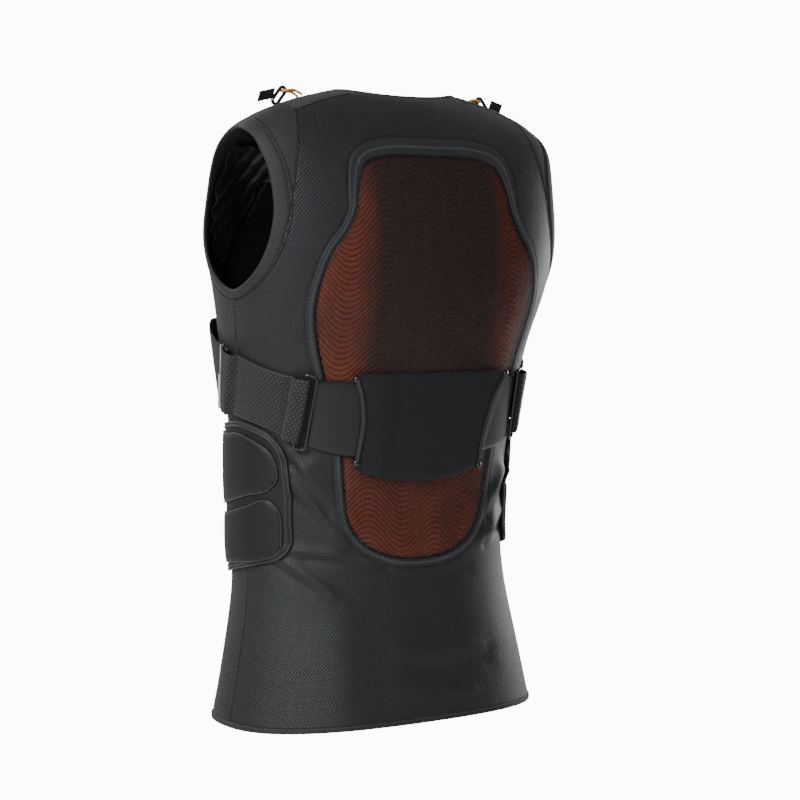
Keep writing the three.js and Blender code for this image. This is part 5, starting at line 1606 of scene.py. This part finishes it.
tabs = add_pair(
    "shoulder_tab_cloth", points, faces, np.vstack([uv, uv]), binding_cloth, "binding",
    "shoulder_tab",
)

# %% Cord
CORD = 1.6 * MM
CORD_SPREAD, CORD_REACH, CORD_TURN, CORD_ARCH = 4 * MM, 31 * MM, 2.8 * MM, 2 * MM


def spline(corners, count):
    """An open smooth line through a few corners, evenly spread."""
    corners = np.asarray(corners, float)
    padded = np.vstack([2 * corners[0] - corners[1], corners, 2 * corners[-1] - corners[-2]])
    t = np.linspace(0, 1, 24, endpoint=False)[:, None]
    parts = []
    for a, b, c, d in zip(padded, padded[1:], padded[2:], padded[3:]):
        square_term, cube_term = 2 * a - 5 * b + 4 * c - d, 3 * b - a - 3 * c + d
        parts.append(0.5 * (2 * b + (c - a) * t + square_term * t**2 + cube_term * t**3))
    return even(np.vstack([*parts, corners[-1:]]), count)


through = clip_foot + clip_up * (CLIP_SIZE[1] - CLIP_WIRE - CORD - LAYER)
cord_corners = []
for side in (-1, 1):
    spot, normal = top_spot(CLIP_X - CORD_REACH, CLIP_Y + side * CORD_SPREAD)
    end = spot + normal * (CORD + LAYER)
    near = through + [-CORD_TURN, side * (CORD_SPREAD - 0.3 * MM), 0]
    cord_corners.append([end, (end + near) / 2 + [0, 0, CORD_ARCH], near])
path = spline([*cord_corners[0], through, *cord_corners[1][::-1]], 90)
cord_up = np.broadcast_to(np.array([0.1, 0.1, 1.0]), path.shape)
points, faces, uv = tube(path, cord_up, CORD, CORD, sides=12)
add_pair("shoulder_cord_elastic", points, faces, uv, orange_cord, "cord_orange", "shoulder_cord")

# %% [markdown]
# ## Slot cords and piping
# The belt leaves the pocket through a slot on each side, and a stitched cord edges each slot.
# It ends in a bar tack, a dense knot of thread that shines. The side pads have two lines of
# piping along their border and one round each lobe, in a pale grey that is partly a painted
# highlight along the rims. All of them are tubes along a path.


# %% Slot cords
def back_path(corners, height, count):
    """A smooth path over the back through corners given by x and drop, and its normals."""
    line = spline(np.asarray(corners) * MM, count)
    path, normals = back_spot(line[:, 0], line[:, 1])
    return path + normals * height, normals


def bead(centre, normal, radius, flatness=0.6):
    """A round knob on the cloth, as points and faces."""
    side = np.cross(normal, [0, 0, 1.0])
    side /= np.linalg.norm(side)
    up = np.cross(side, normal)
    rings, around = 7, 16
    tilt = np.linspace(0.12, math.pi - 0.12, rings)[:, None, None]
    turn = np.linspace(0, 2 * math.pi, around, endpoint=False)[None, :, None]
    made = centre + radius * (
        np.sin(tilt) * (np.cos(turn) * side + np.sin(turn) * up) + flatness * np.cos(tilt) * normal
    )
    faces = grid_faces(rings, around, ring=True).tolist()
    faces += [list(range(around))[::-1], [(rings - 1) * around + k for k in range(around)]]
    return made.reshape(-1, 3), faces


def merged(parts):
    """Several lots of points, faces and UVs as one."""
    points, faces, uvs, count = [], [], [], 0
    for made in parts:
        points.append(made[0])
        faces += [[corner + count for corner in face] for face in made[1]]
        uvs.append(made[2] if len(made) > 2 else np.zeros((len(made[0]), 2)))
        count += len(made[0])
    return np.vstack(points), faces, np.vstack(uvs)


SLOT_HEIGHT = 5.0 * MM
slot_corners = {
    "left": [[84, 296], [78, 312], [74, 337], [75, 360], [77, 380]],
    "right": [[-97, 295], [-83, 317], [-74, 346], [-70, 368], [-69, 389]],
}
slot_paths = {}
for side, corners in slot_corners.items():
    path, normals = back_path(corners, SLOT_HEIGHT, 70)
    slot_paths[side] = (path, normals)
    swell = 1 + 0.35 * np.sin(np.linspace(0, math.pi, 70))
    cord = tube(path, normals, 2.0 * MM * swell, 1.9 * MM, sides=10)
    add_piece(f"slot_cord_{side}", *cord, binding_cloth, "binding")
    knots = [bead(path[k], normals[k], 3.9 * MM) for k in (0, -1)]
    add_piece(f"slot_bar_tack_{side}", *merged(knots), black_plastic, "binding")


# %% Piping of the side pads
def loop_piping(loop, margin, height, radius):
    """Piping round an outline of the side."""
    path, normals = beside(*grown(loop, margin).T)
    return tube(path + normals * height, normals, radius, radius, closed=True)


pad_top = PAD_SEAT + PAD_BASE
piping = [
    loop_piping(side_line, -0.6 * MM, pad_top - 0.2 * MM, 0.9 * MM),
    loop_piping(side_line, -4.2 * MM, pad_top + 0.1 * MM, 0.9 * MM),
]
add_pair("side_pad_border_piping", *merged(piping), piping_and_edge_highlight_cloth, "neoprene")
# Partly painted highlight: the pale piping round each lobe also stands in for the glint on its rim.
lobe_piping = [
    loop_piping(loop, -0.4 * MM, LOBE_SEAT + 0.5 * PAD_LOBE, 0.75 * MM)
    for loop in lobe_lines.values()
]
add_pair("side_pad_lobe_piping", *merged(lobe_piping), piping_and_edge_highlight_cloth, "neoprene")

# %% [markdown]
# ## Stitches
# Stitches repeat along a path, so Geometry Nodes lays them. The path is a mesh of edges that
# carries the cloth's normal. The tree turns it into a curve, spreads points along it, puts a
# small grain of thread on each, lays the grain along the path and turns every second one the
# other way for a zigzag. It ends in Realize Instances and Set Material.


# %% The stitch tree
def stitch_tree():
    """A node group that lays grains of thread along a path."""
    tree = bpy.data.node_groups.new("stitches", "GeometryNodeTree")
    face = tree.interface
    face.new_socket("Geometry", in_out="INPUT", socket_type="NodeSocketGeometry")
    for name, start in (
        ("Spacing", 3 * MM), ("Length", 2.2 * MM), ("Thickness", 0.5 * MM), ("Turn", 0.0),
        ("Zigzag", 0.0),
    ):
        face.new_socket(name, in_out="INPUT", socket_type="NodeSocketFloat").default_value = start
    face.new_socket("Thread", in_out="INPUT", socket_type="NodeSocketMaterial")
    face.new_socket("Geometry", in_out="OUTPUT", socket_type="NodeSocketGeometry")
    into = tree.nodes.new("NodeGroupInput")
    out = tree.nodes.new("NodeGroupOutput")

    curve = node(tree, "GeometryNodeMeshToCurve", {"Mesh": into.outputs["Geometry"]})
    spaced = node(tree, "GeometryNodeResampleCurve", {"Curve": curve.outputs["Curve"]})
    if hasattr(spaced, "mode"):
        spaced.mode = "LENGTH"
    else:
        spaced.inputs["Mode"].default_value = "Length"
    tree.links.new(into.outputs["Spacing"], spaced.inputs["Length"])

    up = node(tree, "GeometryNodeInputNamedAttribute", {"Name": "up"}, data_type="FLOAT_VECTOR")
    tangent = node(tree, "GeometryNodeInputTangent").outputs["Tangent"]
    upright = node(
        tree, "FunctionNodeAlignRotationToVector", {"Vector": up.outputs["Attribute"]}, axis="Z"
    )
    laid = node(
        tree,
        "FunctionNodeAlignRotationToVector",
        {"Rotation": upright.outputs["Rotation"], "Vector": tangent},
        axis="X",
        pivot_axis="Z",
    )
    index = node(tree, "GeometryNodeInputIndex").outputs["Index"]
    parity = calc(tree, "MULTIPLY_ADD", calc(tree, "MODULO", index, 2.0), 2.0, -1.0)
    swing = calc(tree, "MULTIPLY_ADD", parity, into.outputs["Zigzag"], into.outputs["Turn"])
    spin = node(tree, "ShaderNodeCombineXYZ", {"Z": swing}).outputs["Vector"]
    turned = node(
        tree, "FunctionNodeRotateRotation", {0: laid.outputs["Rotation"]}, rotation_space="LOCAL"
    )
    tree.links.new(spin, turned.inputs[1])

    grain = node(tree, "GeometryNodeMeshUVSphere", {"Segments": 6, "Rings": 5, "Radius": 0.5})
    length, thickness = into.outputs["Length"], into.outputs["Thickness"]
    size = node(
        tree, "ShaderNodeCombineXYZ", {"X": length, "Y": thickness, "Z": thickness}
    ).outputs["Vector"]
    placed = node(
        tree,
        "GeometryNodeInstanceOnPoints",
        {
            "Points": spaced.outputs["Curve"],
            "Instance": grain.outputs["Mesh"],
            "Rotation": turned.outputs["Rotation"],
            "Scale": size,
        },
    )
    real = node(tree, "GeometryNodeRealizeInstances", {"Geometry": placed.outputs["Instances"]})
    finish = node(tree, "GeometryNodeSetMaterial", {"Geometry": real.outputs["Geometry"]})
    tree.links.new(into.outputs["Thread"], finish.inputs["Material"])
    tree.links.new(finish.outputs["Geometry"], out.inputs["Geometry"])
    return tree


GRAIN_FACES = 30
stitches = stitch_tree()
print("the stitch tree has", len(stitches.nodes), "nodes")

# %% [markdown]
# ### Laying stitches
# For each seam the tree runs once, as a modifier on the path's mesh. Its inputs are set by
# identifier before it is evaluated, the result becomes a plain mesh, and the modifier goes. So
# what is left is thread that any program can read.


# %% Laying stitches
def stitch_rows(name, paths, spacing, length, thickness, turn=0.0, zigzag=0.0, colour=thread,
                both=False):
    """Stitches along paths, each given as points, normals and whether it is closed."""
    points, ups, edges = [], [], []
    for path, normals, closed in paths:
        for flip in ((1, -1) if both else (1,)):
            first = sum(len(part) for part in points)
            points.append(path * [flip, 1, 1])
            ups.append(normals * [flip, 1, 1])
            count = len(path)
            edges += [(first + k, first + k + 1) for k in range(count - 1)]
            if closed:
                edges.append((first + count - 1, first))
    mesh = bpy.data.meshes.new(name)
    mesh.from_pydata(np.vstack(points).tolist(), edges, [])
    up = mesh.attributes.new("up", "FLOAT_VECTOR", "POINT")
    up.data.foreach_set("vector", np.vstack(ups).astype(np.float32).ravel())
    piece = bpy.data.objects.new(name, mesh)
    bpy.context.scene.collection.objects.link(piece)
    modifier = piece.modifiers.new("stitches", "NODES")
    modifier.node_group = stitches
    values = {
        "Spacing": spacing, "Length": length, "Thickness": thickness, "Turn": turn,
        "Zigzag": zigzag, "Thread": colour,
    }
    for item in stitches.interface.items_tree:
        if item.in_out == "INPUT" and item.name in values:
            modifier[item.identifier] = values[item.name]
    ready = piece.evaluated_get(bpy.context.evaluated_depsgraph_get())
    laid = bpy.data.meshes.new_from_object(ready)
    piece.modifiers.clear()
    piece.data = laid
    laid.name = name
    laid.polygons.foreach_set("use_smooth", [True] * len(laid.polygons))
    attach(piece, "root")
    print(name, "has", len(laid.polygons) // GRAIN_FACES, "stitches")
    return piece


def lifted(spots, height):
    """A path of spots raised over the cloth."""
    path, normals = spots
    return path + normals * height, normals


# %% Stitches of the pocket, hem, neck, pads and slots
border_stitch = back_spot(*(0.55 * border_inner + 0.45 * border_outer).T)
stitch_rows(
    "pocket_border_stitches", [(*lifted(border_stitch, 0.8 * MM), True)], 2.0 * MM, 4.4 * MM,
    0.8 * MM, zigzag=math.radians(52),
)
beyond_border = grown(pad_line, 1 * MM + border_width(pad_line) + 2.2 * MM)
edge_rows = [
    (*lifted(back_spot(*border_outer.T), 0.5 * MM), True),
    (*lifted(back_spot(*beyond_border.T), 0.2 * MM), True),
]
stitch_rows(
    "pocket_edge_stitches", edge_rows, 2.6 * MM, 2.0 * MM, 0.45 * MM, colour=dark_thread
)

whole_turn = np.linspace(0, 2 * math.pi, 400, endpoint=False)
hem_row = on_form(np.full(400, LAST_SECTION - 4.6 * HEM_ROW), whole_turn)
stitch_rows(
    "hem_stitches", [(*lifted(hem_row, 0.9 * MM), True)], 3.2 * MM, 2.3 * MM, 0.8 * MM
)
neck_row = on_form(np.full(200, 0.26), np.linspace(0, 2 * math.pi, 200, endpoint=False))
stitch_rows(
    "neck_stitches", [(*lifted(neck_row, 0.8 * MM), True)], 3.2 * MM, 2.3 * MM, 0.8 * MM
)

pad_rows = [
    (*lifted(beside(*grown(side_line, margin).T), pad_top + 0.15 * MM), True)
    for margin in (-1.9 * MM, -2.9 * MM)
]
stitch_rows(
    "side_pad_stitches", pad_rows, 2.6 * MM, 1.9 * MM, 0.6 * MM, both=True
)

slot_rows = [(path + normals * 1.6 * MM, normals, False) for path, normals in slot_paths.values()]
stitch_rows(
    "slot_cord_stitches", slot_rows, 2.2 * MM, 3.0 * MM, 0.8 * MM, turn=math.radians(38)
)

# %% [markdown]
# ### Thread on the belt and the yokes
# The elastic's folded ends are held by two rows of stitches across it, and its edges are
# overlocked. The yokes are joined to the panels by a ridge with a zigzag beside it, which lets
# the gathers stretch.


# %% Box stitches of the elastic
def belt_line(around, shares, height):
    """A path over the belt at angles and shares across it."""
    around, shares = np.broadcast_arrays(np.asarray(around, float), np.asarray(shares, float))
    path, normals = belt_spot(around, shares)
    return path + normals * height, normals


on_strap = low + STRAP / 2
box_rows = [
    (*belt_line(around, np.linspace(0.05, 0.95, 40), on_strap + 0.1 * MM), False)
    for around in (BACK_RING - 9.6, BACK_RING - 11.8, SIDE_RING + 8, SIDE_RING + 10.2)
]
stitch_rows(
    "belt_box_stitches", box_rows, 2.6 * MM, 2.0 * MM, 0.8 * MM, both=True, colour=dark_thread,
)
edge_rows = [
    (*belt_line(np.linspace(BACK_RING - 10, SIDE_RING + 8, 80), share, on_strap), False)
    for share in (0.03, 0.97)
]
stitch_rows(
    "belt_edge_stitches", edge_rows, 2.2 * MM, 1.9 * MM, 0.5 * MM, both=True
)

# %% Seams of the yoke
yoke_x = np.linspace(66 * MM, 0.66 * CHEST_HALF_WIDTH, 40)
seams, yoke_rows = [], []
for edge, inward in ((0, -1), (1, 1)):
    spots = [top_spot(x, yoke_lines(x)[edge]) for x in yoke_x]
    path = np.stack([spot for spot, _ in spots])
    normals = np.stack([normal for _, normal in spots])
    seams.append(tube(path, normals, *SEAM_TUBE))
    yoke_rows.append((path + normals * 0.4 * MM + [0, inward * 1.8 * MM, 0], normals, False))
add_pair("yoke_seam", *merged(seams), dark_thread, "ruched_cloth")
stitch_rows(
    "yoke_stitches", yoke_rows, 3.6 * MM, 2.4 * MM, 0.5 * MM, zigzag=math.radians(24), both=True,
)

# %% [markdown]
# ## Last details
# A pale strip of painted highlight lies along the side ring's front bar, narrow above and wider
# below, standing in for the glint of light there. Small dark vents show faintly through the upper
# part of the window. Both are low shapes that lie on what carries them, because a painted spot
# would look flat from the side.

# %% Painted highlight strip
side_ring = ring_place(SIDE_RING, side_height)
bar_x = -RING_SIZE[0] / 2 + RING_WIRE / 2
# place across the ring, both ends along it and half width, all in millimetres
# Painted highlight: pale tubes along the side ring's front bar stand in for its glint of light.
STRIP_PARTS = np.array([[-0.6, -36, 37, 1.1], [-3.4, -37, 1, 2.6]]) * MM
strip_rows = []
for offset, low_y, high_y, half in STRIP_PARTS:
    flat = np.stack([np.full(40, bar_x + offset), np.linspace(low_y, high_y, 40)], -1)
    path = ring_points(flat, side_ring, RING_THICK + 0.5 * MM)
    up = np.broadcast_to(side_ring[2][2], path.shape)
    strip_rows.append(tube(path, up, half, 0.45 * MM))
add_pair("ring_painted_highlight_strip", *merged(strip_rows), painted_highlight_plastic, "ring_plastic")

# %% Vents
# x and drop of each, in millimetres
vents = np.array([
    [44, 104], [-22, 101], [43, 125], [-19, 121], [42, 143], [-25, 141], [45, 161], [-24, 160],
    [12, 165], [11, 186], [38, 173],
]) * MM
spots, normals = back_spot(vents[:, 0], vents[:, 1])
vent_parts = [
    bead(spot + normal * 1.1 * MM, normal, 1.5 * MM, 0.12) for spot, normal in zip(spots, normals)
]
add_piece("pocket_vent_eyelets", *merged(vent_parts), dark_thread, "window_mesh")
